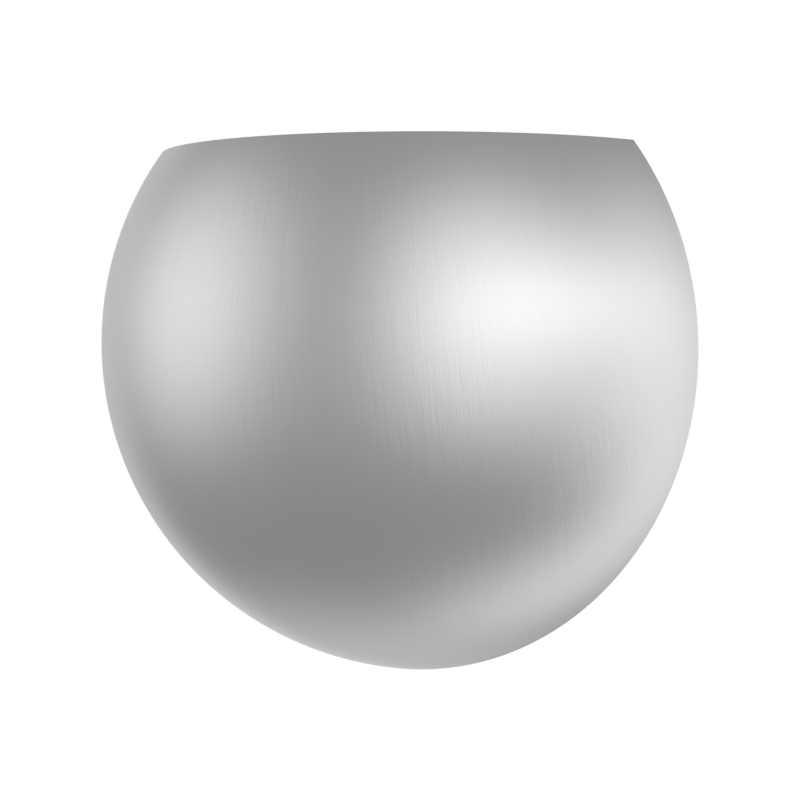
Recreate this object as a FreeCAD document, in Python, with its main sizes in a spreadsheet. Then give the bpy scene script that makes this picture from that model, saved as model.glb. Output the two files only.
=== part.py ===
"""Half moon wall sconce: a brushed steel bowl, cut from a sphere, hangs on a wall pan and throws light up.

Frame, in millimetres: the origin is the centre of the bowl's round wall edge, in the plane of the wall.
+X is to the right of someone who faces the wall, -Y points out of the wall into the room, and +Z is up.
"""

import FreeCAD, Part
import math
import os
import re

import Sketcher
from FreeCAD import Placement, Rotation, Vector

# Driving sizes, in millimetres, by the piece that they belong to.
SIZES = {
    # Bowl
    "wall_radius": 127.0,  # outer radius of the bowl where it meets the wall
    "shade_depth": 98.0,  # how far the bowl stands out from the wall
    "rim_height": 76.0,  # the open rim above the bowl's widest line
    "shade_sheet": 1.2,
    "shade_edge_round": 0.35,
    # Wall pan
    "pan_gap": 1.4,  # between the pan's front edge and the inside of the bowl
    "pan_depth": 10.0,
    "pan_sheet": 1.5,
    "pan_bend": 3.0,  # outside radius of the folded edge
    "pan_corner": 8.0,
    "pan_top_gap": 3.0,  # the pan's straight top edge lies this far under the rim
    "box_screw_spacing": 88.9,
    "box_slot_width": 5.0,
    "box_slot_length": 14.0,
    # Cable entry and its bushing
    "cable_x": 27.0,
    "cable_drop": 24.0,
    "cable_hole_radius": 9.0,
    "bushing_bore": 6.0,
    "bushing_flange": 11.5,
    "bushing_lip": 2.0,
    "bushing_fit": 0.1,
    # Insulating pad behind the pan's sheet
    "pad_radius": 60.0,
    "pad_thick": 4.0,
    "pad_hole_gap": 2.5,
    # Threaded pillars that carry the bowl
    "pillar_height": 20.0,  # above the bowl's widest line
    "pillar_length": 12.0,
    "pillar_flats": 9.0,
    "pillar_bore": 2.05,
    "pillar_bore_depth": 10.0,
    "pillar_neck": 2.8,
    "pillar_flare": 4.0,
    "pillar_flare_thick": 0.8,
    "pillar_recess": 3.5,
    "pillar_recess_depth": 1.2,
    # Ears welded inside the bowl
    "ear_sheet": 1.5,
    "ear_width": 20.0,
    "ear_weld_length": 18.0,
    "ear_hole": 2.4,
    "weld_gap": 0.1,
    # Captive thumbscrews
    "screw_radius": 1.95,
    "screw_engaged": 8.0,
    "screw_washer_radius": 5.5,
    "screw_washer_thick": 0.8,
    "screw_collar_radius": 4.8,
    "screw_collar_length": 1.6,
    "knob_radius": 8.0,
    "knob_length": 8.0,
    "knob_chamfer": 0.8,
    "knob_gap": 5.6,  # between the knob's front and the inside of the bowl
    "knurl_depth": 0.55,
    "knurl_half_width": 0.55,
    "screw_ring_radius": 3.1,
    "screw_ring_thick": 0.8,
    "screw_ring_fit": 0.05,
    # Lamp bracket
    "shelf_drop": 62.0,  # shelf top below the bowl's widest line
    "bracket_sheet": 1.5,
    "bracket_width": 32.0,
    "shelf_gap": 9.2,  # between the shelf's front edge and the inside of the bowl
    "bracket_leg": 26.0,
    "bracket_bend": 3.2,
    "bracket_corner": 7.0,
    "rivet_radius": 1.95,
    "rivet_head": 3.4,
    "rivet_head_thick": 1.1,
    "rivet_tail": 2.9,
    "rivet_tail_thick": 1.4,
    "rivet_spread": 18.0,
    "rivet_drop": 16.0,  # rivets below the shelf
    "rivet_fit": 0.05,
    # Lamp holder
    "holder_height": 41.0,
    "holder_radius": 19.5,
    "holder_foot_radius": 16.5,
    "holder_foot_height": 8.0,
    "holder_shoulder": 13.0,
    "holder_wall": 4.2,
    "holder_floor": 9.0,
    "holder_round": 1.4,
    "wire_bore": 3.6,
    "stem_depth": 5.5,  # how far the nipple goes up into the cup's foot
    "shell_sheet": 0.45,
    "shell_inner": 13.55,  # smallest radius inside the screw shell
    "shell_foot": 12.8,
    "thread_spacing": 3.629,
    "thread_height": 0.75,
    "thread_flat_share": 0.3,
    "tongue_sheet": 0.5,
    "tongue_width": 7.0,
    "tongue_foot": 5.0,
    "tongue_rise": 3.6,
    "tongue_out": 11.5,
    "tongue_over": 3.5,
    "eyelet_radius": 1.0,
    "eyelet_head": 1.9,
    "eyelet_head_thick": 0.6,
    "eyelet_grip": 3.0,
    "eyelet_fit": 0.05,
    "nipple_radius": 5.0,
    "nipple_bore": 3.5,
    "nipple_below": 6.5,
    "nipple_fit": 0.1,
    "nut_flats": 14.0,
    "nut_thick": 3.0,
    "star_washer_radius": 8.5,
    "star_washer_thick": 0.8,
    "star_tooth_depth": 1.4,
    # Lamp
    "contact_gap": 0.1,
    "contact_radius": 4.6,
    "contact_thick": 1.3,
    "insulator_height": 4.2,
    "insulator_radius": 6.4,
    "cap_radius": 13.05,  # over the thread's crests
    "cap_sheet": 0.4,
    "cap_foot": 11.2,
    "housing_sheet": 1.4,
    "housing_neck": 14.2,
    "housing_length": 27.0,
    "housing_waist": 8.0,
    "housing_bend": 8.0,
    "globe_radius": 24.5,
    "lamp_gap": 6.6,  # between the pan and the globe
    "globe_sheet": 1.2,
    "globe_collar": 5.0,
    "globe_step": 0.3,
    "board_fit": 0.2,
    "board_thick": 1.4,
    "board_drop": 3.0,
    "chip_ring": 12.5,
    "chip_length": 3.5,
    "chip_width": 2.8,
    "chip_thick": 0.8,
    "driver_width": 16.0,
    "driver_thick": 1.2,
    "driver_gap": 1.5,
    "capacitor_radius": 3.2,
    "capacitor_length": 12.0,
    "choke_width": 7.0,
    # Terminal block
    "block_gap": 7.0,  # from the insulating pad's edge to the block's nearer screw
    "block_drop": 47.0,
    "pole_spacing": 8.5,
    "block_height": 19.0,
    "block_base": 9.5,
    "block_end_wall": 0.9,
    "turret_radius": 3.7,
    "turret_rise": 5.0,
    "turret_spread": 9.0,
    "turret_bore": 2.15,
    "tube_radius": 2.6,
    "tube_bore": 1.7,
    "tube_length": 15.0,
    "tube_depth": 5.4,  # tube axis in front of the pan
    "tube_fit": 0.1,
    "clamp_screw": 1.45,
    "clamp_head": 2.0,
    "clamp_head_thick": 2.2,
    "clamp_slot": 0.5,
    "clamp_slot_depth": 0.9,
    "clamp_sunk": 1.2,
    "block_screw": 1.4,
    "block_screw_head": 2.3,
    "block_screw_head_thick": 1.5,
    "block_screw_tail": 3.0,
    "block_screw_fit": 0.1,
    # Earth point on the pan
    "block_to_earth": 25.0,
    "earth_drop": 47.0,
    "earth_screw": 1.95,
    "earth_head": 4.2,
    "earth_head_thick": 2.6,
    "earth_slot": 1.0,
    "earth_slot_depth": 1.2,
    "earth_tail": 3.0,
    "earth_washer": 5.2,
    "earth_washer_thick": 0.8,
    "earth_fit": 0.1,
    "lug_ring": 4.4,
    "lug_thick": 0.9,
    "lug_neck": 7.5,
    "lug_barrel": 1.9,
    "lug_barrel_length": 7.0,
    # Leads
    "lead_radius": 1.1,
    "core_radius": 0.5,
    "core_bare": 7.0,
    "lead_entry": 1.6,  # how far the insulation goes into the terminal block
    "lead_split": 1.35,  # half the distance between the leads inside the nipple
    "lead_short": 1.0,  # the leads end this far under the floor of the cup
    # Rubber stops on the pan's side
    "stop_radius": 3.5,
    "stop_forward": 4.5,
    "stop_seat": 0.1,
    "stop_clear": 0.35,
    # Cutting tools run past the stock by this much
    "overrun": 5.0,
}

# Counts and angles.
KNURL_COUNT = 36
CAP_TURNS = 6
SHELL_TURNS = 7
CHIP_COUNT = 9
STAR_TOOTH_COUNT = 10
STOP_ANGLES = (-90.0, -20.0, 200.0)
POLES = (-1, 0, 1)
SIDES = {"left": -1, "right": 1}
NEAR = 1e-4  # points closer than this are the same

# Each run of a lead gives up this share of its length to the bend at either end.
TRIM_SHARE = 0.45
# Corners of the leads as (x, y, z) shares of the poles' spacing, off their first anchor and off their second.
LEAD_SHARES = {
    "live_lead": (
        ((0.0, 0.0, -0.5), (0.8, 0.4, -1.25), (2.2, 1.1, -1.5)),
        ((-0.8, -0.9, -2.8), (0.0, 0.0, -1.2)),
    ),
    "neutral_lead": (
        ((0.0, 0.0, -0.9), (0.9, 0.2, -1.9), (2.8, 0.8, -2.3)),
        ((-1.1, -0.8, -3.7), (0.0, 0.0, -1.5)),
    ),
    "earth_lead": (
        ((0.0, 0.0, -1.2), (0.35, 0.1, -2.0), (1.0, 0.2, -2.3)),
        ((-0.3, 0.0, -1.5), (0.0, 0.0, -0.7)),
    ),
}

# Sizes that follow from the driving ones.
DERIVED = {
    "sphere_radius": "(wall_radius^2 + shade_depth^2) / (2 * shade_depth)",
    "sphere_behind": "sphere_radius - shade_depth",  # sphere's centre behind the wall plane
    "shade_inner": "sphere_radius - shade_sheet",
    "mouth_radius": "sqrt(shade_inner^2 - sphere_behind^2)",
    "pan_radius": "sqrt(shade_inner^2 - (sphere_behind + pan_depth)^2) - pan_gap",
    "pan_top": "rim_height - pan_top_gap",
    "lamp_forward": "pan_depth + lamp_gap + globe_radius",  # lamp axis in front of the wall
    "block_x": "sqrt((pad_radius + block_gap)^2 - block_drop^2) + pole_spacing / 2",
    "earth_x": "block_x + block_to_earth",
    "sheet_back": "pan_depth - pan_sheet",
    "ear_back": "pan_depth + pillar_length",
    "ear_front": "ear_back + ear_sheet",
    "knob_seat": "ear_front + screw_washer_thick",
    "screw_length": "screw_engaged + ear_sheet + screw_washer_thick",
    "knob_front": "knob_seat + screw_collar_length + knob_length",
    "bowl_at_knob": "sqrt(shade_inner^2 - (sphere_behind + knob_front)^2 - pillar_height^2)",
    "pillar_x": "bowl_at_knob - knob_radius - knob_gap",
    "holder_foot": "0 - shelf_drop",
    "holder_bore": "nipple_radius + nipple_fit",
    "socket_floor": "holder_foot + holder_floor",
    "lamp_foot": "socket_floor + tongue_rise + tongue_sheet + contact_gap",
    "cap_foot_height": "lamp_foot + contact_thick + insulator_height",
    "cap_top_height": "cap_foot_height + cap_sheet + " + str(CAP_TURNS) + " * thread_spacing",
    "housing_top": "cap_top_height + housing_length",
    "board_foot": "housing_top - board_drop",
    "cone_foot": "housing_waist + housing_sheet",
    "cone_share": "(housing_length - board_drop - cone_foot) / (housing_length - cone_foot)",
    "board_seat": "housing_neck - housing_sheet + (globe_radius - housing_neck) * cone_share",
    "board_radius": "board_seat - board_fit",
    "eyelet_out": "tongue_out - tongue_foot / 2",
    "driver_foot": "cap_top_height + housing_sheet + driver_gap",
    "driver_length": "board_foot - driver_foot",
    "globe_outer": "globe_radius - globe_step",
    "block_width": "3 * pole_spacing + 2 * block_end_wall",
    "tube_forward": "pan_depth + tube_depth",
    "shelf_under": "shelf_drop + bracket_sheet",
    "bowl_at_shelf": "sqrt(shade_inner^2 - shelf_under^2 - (bracket_width / 2)^2) - sphere_behind",
    "shelf_front": "bowl_at_shelf - shelf_gap",
    "rivet_line": "shelf_drop + rivet_drop",
    "block_foot": "block_drop + block_height / 2",
    "block_face": "pan_depth + block_base",
    "turret_top": "block_face + turret_rise",
    "lead_end": "block_foot - lead_entry",
    "lug_lead_end": "earth_drop + lug_neck + lug_barrel_length - lug_thick - lead_entry",
    "nut_top": "shelf_under + star_washer_thick",
    "nipple_foot": "shelf_under + nipple_below",
    "lug_forward": "pan_depth + lug_barrel + weld_gap",
}

doc = FreeCAD.newDocument("half_moon_sconce")
sheet = doc.addObject("Spreadsheet::Sheet", "Sizes")
for row, (size_name, size_value) in enumerate(SIZES.items(), start=1):
    sheet.set(f"A{row}", size_name)
    sheet.set(f"B{row}", str(size_value))
    sheet.setAlias(f"B{row}", size_name)
doc.recompute()

WORD = re.compile(r"[a-z_]+\b(?!\()")
PARTS = []


def formula(text):
    """Turns a sum of named sizes into an expression on the sheet."""

    def swap(found):
        word = found.group(0)
        if word in SIZES:
            return f"Sizes.{word}"
        return f"({formula(DERIVED[word])})"

    return WORD.sub(swap, str(text))


def size(text):
    """The value of a sum of named sizes."""
    return float(sheet.evalExpression(formula(text)))


def bind(obj, **properties):
    for name, text in properties.items():
        obj.setExpression(name, formula(text))
    return obj


def place(obj, x="0", y="0", z="0", axis="Z"):
    """Puts obj at a point, with its own Z axis turned along +Z, along -Y (out of the wall) or along -Z."""
    turns = {"Z": Rotation(), "out": Rotation(Vector(1, 0, 0), 90), "down": Rotation(Vector(1, 0, 0), 180)}
    obj.Placement = Placement(Vector(), turns[axis])
    for letter, text in zip("xyz", (x, y, z)):
        obj.setExpression(f"Placement.Base.{letter}", formula(text))
    return obj


def part(obj, label):
    """Names a finished sub-part: its file gets this name."""
    obj.Label = label
    PARTS.append(obj)
    return obj


def box(length, width, height, x, y, z):
    """A box from its lowest corner."""
    made = doc.addObject("Part::Box", "Box")
    bind(made, Length=length, Width=width, Height=height)
    return place(made, x, y, z)


def cylinder(radius, height, x="0", y="0", z="0", axis="Z"):
    made = doc.addObject("Part::Cylinder", "Cylinder")
    bind(made, Radius=radius, Height=height)
    return place(made, x, y, z, axis)


def hex_bar(flats, height, x="0", y="0", z="0", axis="Z"):
    made = doc.addObject("Part::Prism", "Hex")
    made.Polygon = 6
    bind(made, Circumradius=f"({flats}) / sqrt(3)", Height=height)
    return place(made, x, y, z, axis)


def ball(radius):
    """A ball about the centre of the bowl's sphere."""
    made = doc.addObject("Part::Sphere", "Ball")
    bind(made, Radius=radius)
    return place(made, y="sphere_behind")


def fuse(*shapes):
    made = doc.addObject("Part::MultiFuse", "Fuse")
    made.Shapes = list(shapes)
    made.Refine = True
    return made


def common(*shapes):
    made = doc.addObject("Part::MultiCommon", "Common")
    made.Shapes = list(shapes)
    return made


def cut(base, *tools):
    made = doc.addObject("Part::Cut", "Cut")
    made.Base = base
    made.Tool = tools[0] if len(tools) == 1 else fuse(*tools)
    return made


def group(shapes):
    """Separate solids under one name."""
    made = doc.addObject("Part::Compound", "Group")
    made.Links = list(shapes)
    return made


def new_body():
    return doc.addObject("PartDesign::Body", "Body")


def new_sketch(body, plane):
    sketch = body.newObject("Sketcher::SketchObject", "Sketch")
    origin = next(f for f in body.Origin.OriginFeatures if f.Role == plane)
    sketch.AttachmentSupport = (origin, [""])
    sketch.MapMode = "FlatFace"
    return sketch


def pin(sketch, geometry, end, across, along):
    """Holds a point of a sketch at two sums of named sizes."""
    for kind, text, axis in (("DistanceX", across, -2), ("DistanceY", along, -1)):
        value = size(text)
        if abs(value) < 1e-9:
            sketch.addConstraint(Sketcher.Constraint("PointOnObject", geometry, end, axis))
        elif value > 0:
            index = sketch.addConstraint(Sketcher.Constraint(kind, -1, 1, geometry, end, value))
            sketch.setExpression(f"Constraints[{index}]", formula(text))
        else:
            index = sketch.addConstraint(Sketcher.Constraint(kind, geometry, end, -1, 1, -value))
            sketch.setExpression(f"Constraints[{index}]", formula(f"0 - ({text})"))


def polygon(sketch, points):
    """A closed outline of straight lines through points given as sums of named sizes."""
    spots = [Vector(size(x), size(y), 0) for x, y in points]
    first = sketch.GeometryCount
    for start, end in zip(spots, spots[1:] + spots[:1]):
        sketch.addGeometry(Part.LineSegment(start, end), False)
    for index in range(len(points)):
        following = first + (index + 1) % len(points)
        sketch.addConstraint(Sketcher.Constraint("Coincident", first + index, 2, following, 1))
    for index, (x, y) in enumerate(points):
        pin(sketch, first + index, 1, x, y)


def arc(sketch, centre, radius, start=0.0, end=2 * math.pi):
    """Adds an arc, or a whole circle, to a sketch."""
    whole = Part.Circle(centre, Vector(0, 0, 1), radius)
    if end - start >= 2 * math.pi:
        return sketch.addGeometry(whole, False)
    return sketch.addGeometry(Part.ArcOfCircle(whole, start, end), False)


def circle(sketch, radius, x="0", y="0"):
    index = arc(sketch, Vector(size(x), size(y), 0), size(radius))
    held = sketch.addConstraint(Sketcher.Constraint("Radius", index, size(radius)))
    sketch.setExpression(f"Constraints[{held}]", formula(radius))
    if size(x) == 0 and size(y) == 0:
        sketch.addConstraint(Sketcher.Constraint("Coincident", index, 3, -1, 1))
    else:
        pin(sketch, index, 3, x, y)
    return index


def slot(sketch, radius, length, x, y):
    """A slot along the sketch's first axis, length being from end to end."""
    half = f"(({length}) / 2 - ({radius}))"
    right = Vector(size(f"{x} + {half}"), size(y), 0)
    left = Vector(size(f"{x} - {half}"), size(y), 0)
    lift = Vector(0, size(radius), 0)
    quarter = math.pi / 2
    first = sketch.GeometryCount
    arc(sketch, right, size(radius), -quarter, quarter)
    sketch.addGeometry(Part.LineSegment(right + lift, left + lift), False)
    arc(sketch, left, size(radius), quarter, 3 * quarter)
    sketch.addGeometry(Part.LineSegment(left - lift, right - lift), False)
    for a, a_end, b, b_end in ((0, 2, 1, 1), (1, 2, 2, 1), (2, 2, 3, 1), (3, 2, 0, 1)):
        sketch.addConstraint(Sketcher.Constraint("Tangent", first + a, a_end, first + b, b_end))
    held = sketch.addConstraint(Sketcher.Constraint("Radius", first, size(radius)))
    sketch.setExpression(f"Constraints[{held}]", formula(radius))
    pin(sketch, first, 3, f"{x} + {half}", y)
    pin(sketch, first + 2, 3, f"{x} - {half}", y)


def pad(body, sketch, length, centred=False):
    made = body.newObject("PartDesign::Pad", "Pad")
    made.Profile = sketch
    made.Midplane = centred
    bind(made, Length=length)
    doc.recompute()
    return made


def pocket(body, sketch, back=False):
    """Cuts a sketch through everything, against the sketch's normal or, with back, along it."""
    before = body.Shape.Volume
    made = body.newObject("PartDesign::Pocket", "Pocket")
    made.Profile = sketch
    made.Type = "ThroughAll"
    made.Reversed = back
    doc.recompute()
    if not body.Shape.Volume < before:
        raise RuntimeError(f"the pocket on {sketch.Name} cut nothing")
    return made


def turn(body, sketch, axis="V_Axis"):
    made = body.newObject("PartDesign::Revolution", "Revolution")
    made.Profile = sketch
    made.ReferenceAxis = (sketch, [axis])
    made.Angle = 360
    doc.recompute()
    return made


def edges_where(feature, test):
    """Names of the edges of a feature that a test picks out."""
    return [f"Edge{i}" for i, edge in enumerate(feature.Shape.Edges, start=1) if test(edge)]


def fillet(body, feature, radius, test):
    made = body.newObject("PartDesign::Fillet", "Fillet")
    made.Base = (feature, edges_where(feature, test))
    bind(made, Radius=radius)
    doc.recompute()
    return made


def turned(points, x="0", y="0", z="0", axis="Z"):
    """A piece turned about its own Z axis from (radius, height) points."""
    body = new_body()
    sketch = new_sketch(body, "XZ_Plane")
    polygon(sketch, points)
    turn(body, sketch)
    return place(body, x, y, z, axis)


def span(edge, letter):
    """How far an edge runs along x, y or z."""
    return getattr(edge.BoundBox, f"{letter}Length")


def lies_at(edge, letter, text):
    """True where all of an edge lies at one value of x, y or z."""
    low = getattr(edge.BoundBox, f"{letter}Min")
    return abs(low - size(text)) < NEAR and span(edge, letter) < NEAR


def shade():
    """The bowl: a cap of a sphere, spun from sheet, with its top cut off level."""
    body = new_body()
    sketch = new_sketch(body, "YZ_Plane")
    centre = Vector(size("sphere_behind"), 0, 0)
    outer, inner = size("sphere_radius"), size("shade_inner")
    outer_start = math.atan2(size("wall_radius"), -centre.x)
    inner_start = math.atan2(size("mouth_radius"), -centre.x)
    outer_arc = arc(sketch, centre, outer, outer_start, math.pi)
    inner_arc = arc(sketch, centre, inner, inner_start, math.pi)
    apex = sketch.addGeometry(
        Part.LineSegment(Vector(centre.x - outer, 0, 0), Vector(centre.x - inner, 0, 0)), False
    )
    edge = sketch.addGeometry(
        Part.LineSegment(Vector(0, size("mouth_radius"), 0), Vector(0, size("wall_radius"), 0)), False
    )
    for a, a_end, b, b_end in (
        (outer_arc, 2, apex, 1),
        (apex, 2, inner_arc, 2),
        (inner_arc, 1, edge, 1),
        (edge, 2, outer_arc, 1),
        (outer_arc, 3, inner_arc, 3),
    ):
        sketch.addConstraint(Sketcher.Constraint("Coincident", a, a_end, b, b_end))
    sketch.addConstraint(Sketcher.Constraint("PointOnObject", outer_arc, 3, -1))
    sketch.addConstraint(Sketcher.Constraint("PointOnObject", inner_arc, 2, -1))
    sketch.addConstraint(Sketcher.Constraint("PointOnObject", edge, 1, -2))
    pin(sketch, outer_arc, 1, "0", "wall_radius")
    pin(sketch, outer_arc, 2, "0 - shade_depth", "0")
    held = sketch.addConstraint(Sketcher.Constraint("Distance", apex, size("shade_sheet")))
    sketch.setExpression(f"Constraints[{held}]", formula("shade_sheet"))
    turn(body, sketch, "H_Axis")

    top = new_sketch(body, "XZ_Plane")
    far = "wall_radius + overrun"
    near = f"0 - ({far})"
    polygon(top, [(near, "rim_height"), (far, "rim_height"), (far, far), (near, far)])
    trimmed = pocket(body, top, back=True)

    def cut_edge(edge):
        return lies_at(edge, "Z", "rim_height") or lies_at(edge, "Y", "0")

    fillet(body, trimmed, "shade_edge_round", cut_edge)
    return part(body, "shade")


def rivet_holes(sketch):
    for side in SIDES.values():
        circle(sketch, "rivet_radius + rivet_fit", f"{side} * rivet_spread / 2", "0 - rivet_line")


def back_pan():
    """The pressed pan on the wall that carries everything and closes the bowl's back."""
    body = new_body()
    sketch = new_sketch(body, "XZ_Plane")
    radius, top = size("pan_radius"), size("pan_top")
    corner = math.sqrt(radius**2 - top**2)
    start = math.atan2(top, -corner)
    end = math.atan2(top, corner) + 2 * math.pi
    rim = arc(sketch, Vector(), radius, start, end)
    line = sketch.addGeometry(Part.LineSegment(Vector(corner, top, 0), Vector(-corner, top, 0)), False)
    sketch.addConstraint(Sketcher.Constraint("Coincident", rim, 2, line, 1))
    sketch.addConstraint(Sketcher.Constraint("Coincident", line, 2, rim, 1))
    sketch.addConstraint(Sketcher.Constraint("Coincident", rim, 3, -1, 1))
    sketch.addConstraint(Sketcher.Constraint("Horizontal", line))
    for kind, text in (("Radius", "pan_radius"), ("DistanceY", "pan_top")):
        ends = (rim,) if kind == "Radius" else (-1, 1, line, 1)
        held = sketch.addConstraint(Sketcher.Constraint(kind, *ends, size(text)))
        sketch.setExpression(f"Constraints[{held}]", formula(text))
    blank = pad(body, sketch, "pan_depth")
    rounded = fillet(body, blank, "pan_corner", lambda e: span(e, "Y") > NEAR and span(e, "X") < NEAR)
    folded = fillet(body, rounded, "pan_bend", lambda e: lies_at(e, "Y", "0 - pan_depth"))
    hollow = body.newObject("PartDesign::Thickness", "Thickness")
    back = next(i for i, face in enumerate(folded.Shape.Faces, start=1) if lies_at(face, "Y", "0"))
    hollow.Base = (folded, [f"Face{back}"])
    hollow.Reversed = True
    bind(hollow, Value="pan_sheet")
    doc.recompute()

    holes = new_sketch(body, "XZ_Plane")
    for side in SIDES.values():
        slot(holes, "box_slot_width / 2", "box_slot_length", f"{side} * box_screw_spacing / 2", "0")
        circle(holes, "pillar_neck + rivet_fit", f"{side} * pillar_x", "pillar_height")
        x = f"block_x + {side} * pole_spacing / 2"
        circle(holes, "block_screw + block_screw_fit", x, "0 - block_drop")
    rivet_holes(holes)
    circle(holes, "cable_hole_radius", "cable_x", "0 - cable_drop")
    circle(holes, "earth_screw + earth_fit", "earth_x", "0 - earth_drop")
    pocket(body, holes, back=True)
    return part(body, "back_pan")


def insulation_pad():
    """The soft pad between the pan's sheet and the wall box."""
    body = new_body()
    sketch = new_sketch(body, "XZ_Plane")
    circle(sketch, "pad_radius")
    circle(sketch, "bushing_flange + pad_hole_gap", "cable_x", "0 - cable_drop")
    for side in SIDES.values():
        slot(
            sketch,
            "box_slot_width / 2 + pad_hole_gap",
            "box_slot_length + 2 * pad_hole_gap",
            f"{side} * box_screw_spacing / 2",
            "0",
        )
    pad(body, sketch, "pad_thick")
    place(body, y="0 - (sheet_back - pad_thick)")
    return part(body, "insulation_pad")


def cable_bushing():
    """The snap-in bushing that the supply cable comes through."""
    neck = "cable_hole_radius - bushing_fit"
    middle = "bushing_lip + pan_sheet"
    end = "2 * bushing_lip + pan_sheet"
    body = turned(
        [
            ("bushing_bore", "0"),
            ("bushing_flange", "0"),
            ("bushing_flange", "bushing_lip"),
            (neck, "bushing_lip"),
            (neck, middle),
            ("bushing_flange", middle),
            ("bushing_flange", end),
            ("bushing_bore", end),
        ],
        "cable_x",
        "0 - (sheet_back - bushing_lip)",
        "0 - cable_drop",
        "out",
    )
    return part(body, "cable_bushing")


def pillar(name, side):
    """A hexagonal pillar, riveted into the pan, with a threaded bore for a thumbscrew."""
    x = f"{side} * pillar_x"
    z = "pillar_height"
    bar = hex_bar("pillar_flats", "pillar_length", x, "0 - pan_depth", z, "out")
    neck = cylinder("pillar_neck", "pan_sheet", x, "0 - sheet_back", z, "out")
    flare_back = "0 - (sheet_back - pillar_flare_thick)"
    flare = cylinder("pillar_flare", "pillar_flare_thick", x, flare_back, z, "out")
    bore_end = "0 - (ear_back - pillar_bore_depth)"
    bore = cylinder("pillar_bore", "pillar_bore_depth + overrun", x, bore_end, z, "out")
    recess_end = "0 - (ear_back - pillar_recess_depth)"
    recess = cylinder("pillar_recess", "pillar_recess_depth + overrun", x, recess_end, z, "out")
    return part(cut(fuse(bar, neck, flare), bore, recess), f"pillar_{name}")


def ear(name, side):
    """A tab spot-welded inside the bowl, bent flat where its thumbscrew holds it on the pillar."""
    z = "pillar_height - ear_width / 2"
    reach = "wall_radius + overrun"
    low_x = {1: "0", -1: f"0 - ({reach})"}[side]
    skin = cut(ball("shade_inner - weld_gap"), ball("shade_inner - weld_gap - ear_sheet"))
    front = "0 - (ear_back + ear_weld_length)"
    welded = common(skin, box(reach, "ear_weld_length", "ear_width", low_x, front, z))
    start = {1: "pillar_x", -1: f"0 - ({reach})"}[side]
    arm = box(f"{reach} - pillar_x", "ear_sheet", "ear_width", start, "0 - ear_front", z)
    x = f"{side} * pillar_x"
    nose = cylinder("ear_width / 2", "ear_sheet", x, "0 - ear_back", "pillar_height", "out")
    flat = common(fuse(arm, nose), ball("shade_inner - weld_gap"))
    behind = "0 - (ear_back - overrun)"
    hole = cylinder("ear_hole", "ear_sheet + 2 * overrun", x, behind, "pillar_height", "out")
    return part(cut(fuse(welded, flat), hole), f"ear_{name}")


def thumbscrew(name, side):
    """A knurled thumbscrew that stays in its ear."""
    body = new_body()
    sketch = new_sketch(body, "XZ_Plane")
    collar_top = "screw_length + screw_collar_length"
    top = f"{collar_top} + knob_length"
    polygon(
        sketch,
        [
            ("0", "0"),
            ("screw_radius", "0"),
            ("screw_radius", "screw_length"),
            ("screw_collar_radius", "screw_length"),
            ("screw_collar_radius", collar_top),
            ("knob_radius - knob_chamfer", collar_top),
            ("knob_radius", f"{collar_top} + knob_chamfer"),
            ("knob_radius", f"{top} - knob_chamfer"),
            ("knob_radius - knob_chamfer", top),
            ("0", top),
        ],
    )
    turn(body, sketch)
    groove = new_sketch(body, "XY_Plane")
    outside = "knob_radius + knurl_depth"
    polygon(
        groove,
        [
            ("knob_radius - knurl_depth", "0"),
            (outside, "2 * knurl_half_width"),
            (outside, "0 - 2 * knurl_half_width"),
        ],
    )
    cut_groove = pocket(body, groove, back=True)
    knurl = body.newObject("PartDesign::PolarPattern", "PolarPattern")
    knurl.Originals = [cut_groove]
    knurl.Axis = (groove, ["N_Axis"])
    knurl.Angle = 360
    knurl.Occurrences = KNURL_COUNT
    body.Tip = knurl
    doc.recompute()
    place(body, f"{side} * pillar_x", "0 - (knob_seat - screw_length)", "pillar_height", "out")
    return part(body, f"thumbscrew_{name}")


def ring(label, inner, outer, thick, x, y, z, axis="out"):
    """A plain washer."""
    washer = turned([(inner, "0"), (outer, "0"), (outer, thick), (inner, thick)], x, y, z, axis)
    return part(washer, label)


def lamp_bracket():
    """The bent strip riveted to the pan, with the shelf that the lamp holder stands on."""
    body = new_body()
    sketch = new_sketch(body, "YZ_Plane")
    front = "0 - shelf_front"
    face = "0 - (pan_depth + bracket_sheet)"
    leg_foot = "0 - (shelf_drop + bracket_leg)"
    polygon(
        sketch,
        [
            ("0 - pan_depth", leg_foot),
            ("0 - pan_depth", "0 - shelf_drop"),
            (front, "0 - shelf_drop"),
            (front, "0 - shelf_under"),
            (face, "0 - shelf_under"),
            (face, leg_foot),
        ],
    )
    strip = pad(body, sketch, "bracket_width", centred=True)

    def outer_bend(edge):
        return lies_at(edge, "Y", "0 - pan_depth") and lies_at(edge, "Z", "0 - shelf_drop")

    def inner_bend(edge):
        return lies_at(edge, "Y", face) and lies_at(edge, "Z", "0 - shelf_under")

    def shelf_corner(edge):
        return lies_at(edge, "Y", front) and span(edge, "X") < NEAR

    def leg_corner(edge):
        return lies_at(edge, "Z", leg_foot) and span(edge, "X") < NEAR

    bent = fillet(body, strip, "bracket_bend", outer_bend)
    inside = fillet(body, bent, "bracket_bend - bracket_sheet", inner_bend)
    shelf = fillet(body, inside, "bracket_corner", shelf_corner)
    fillet(body, shelf, "bracket_corner", leg_corner)
    through = new_sketch(body, "XY_Plane")
    circle(through, "nipple_radius + nipple_fit", "0", "0 - lamp_forward")
    pocket(body, through)
    holes = new_sketch(body, "XZ_Plane")
    rivet_holes(holes)
    pocket(body, holes, back=True)
    return part(body, "lamp_bracket")


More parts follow.
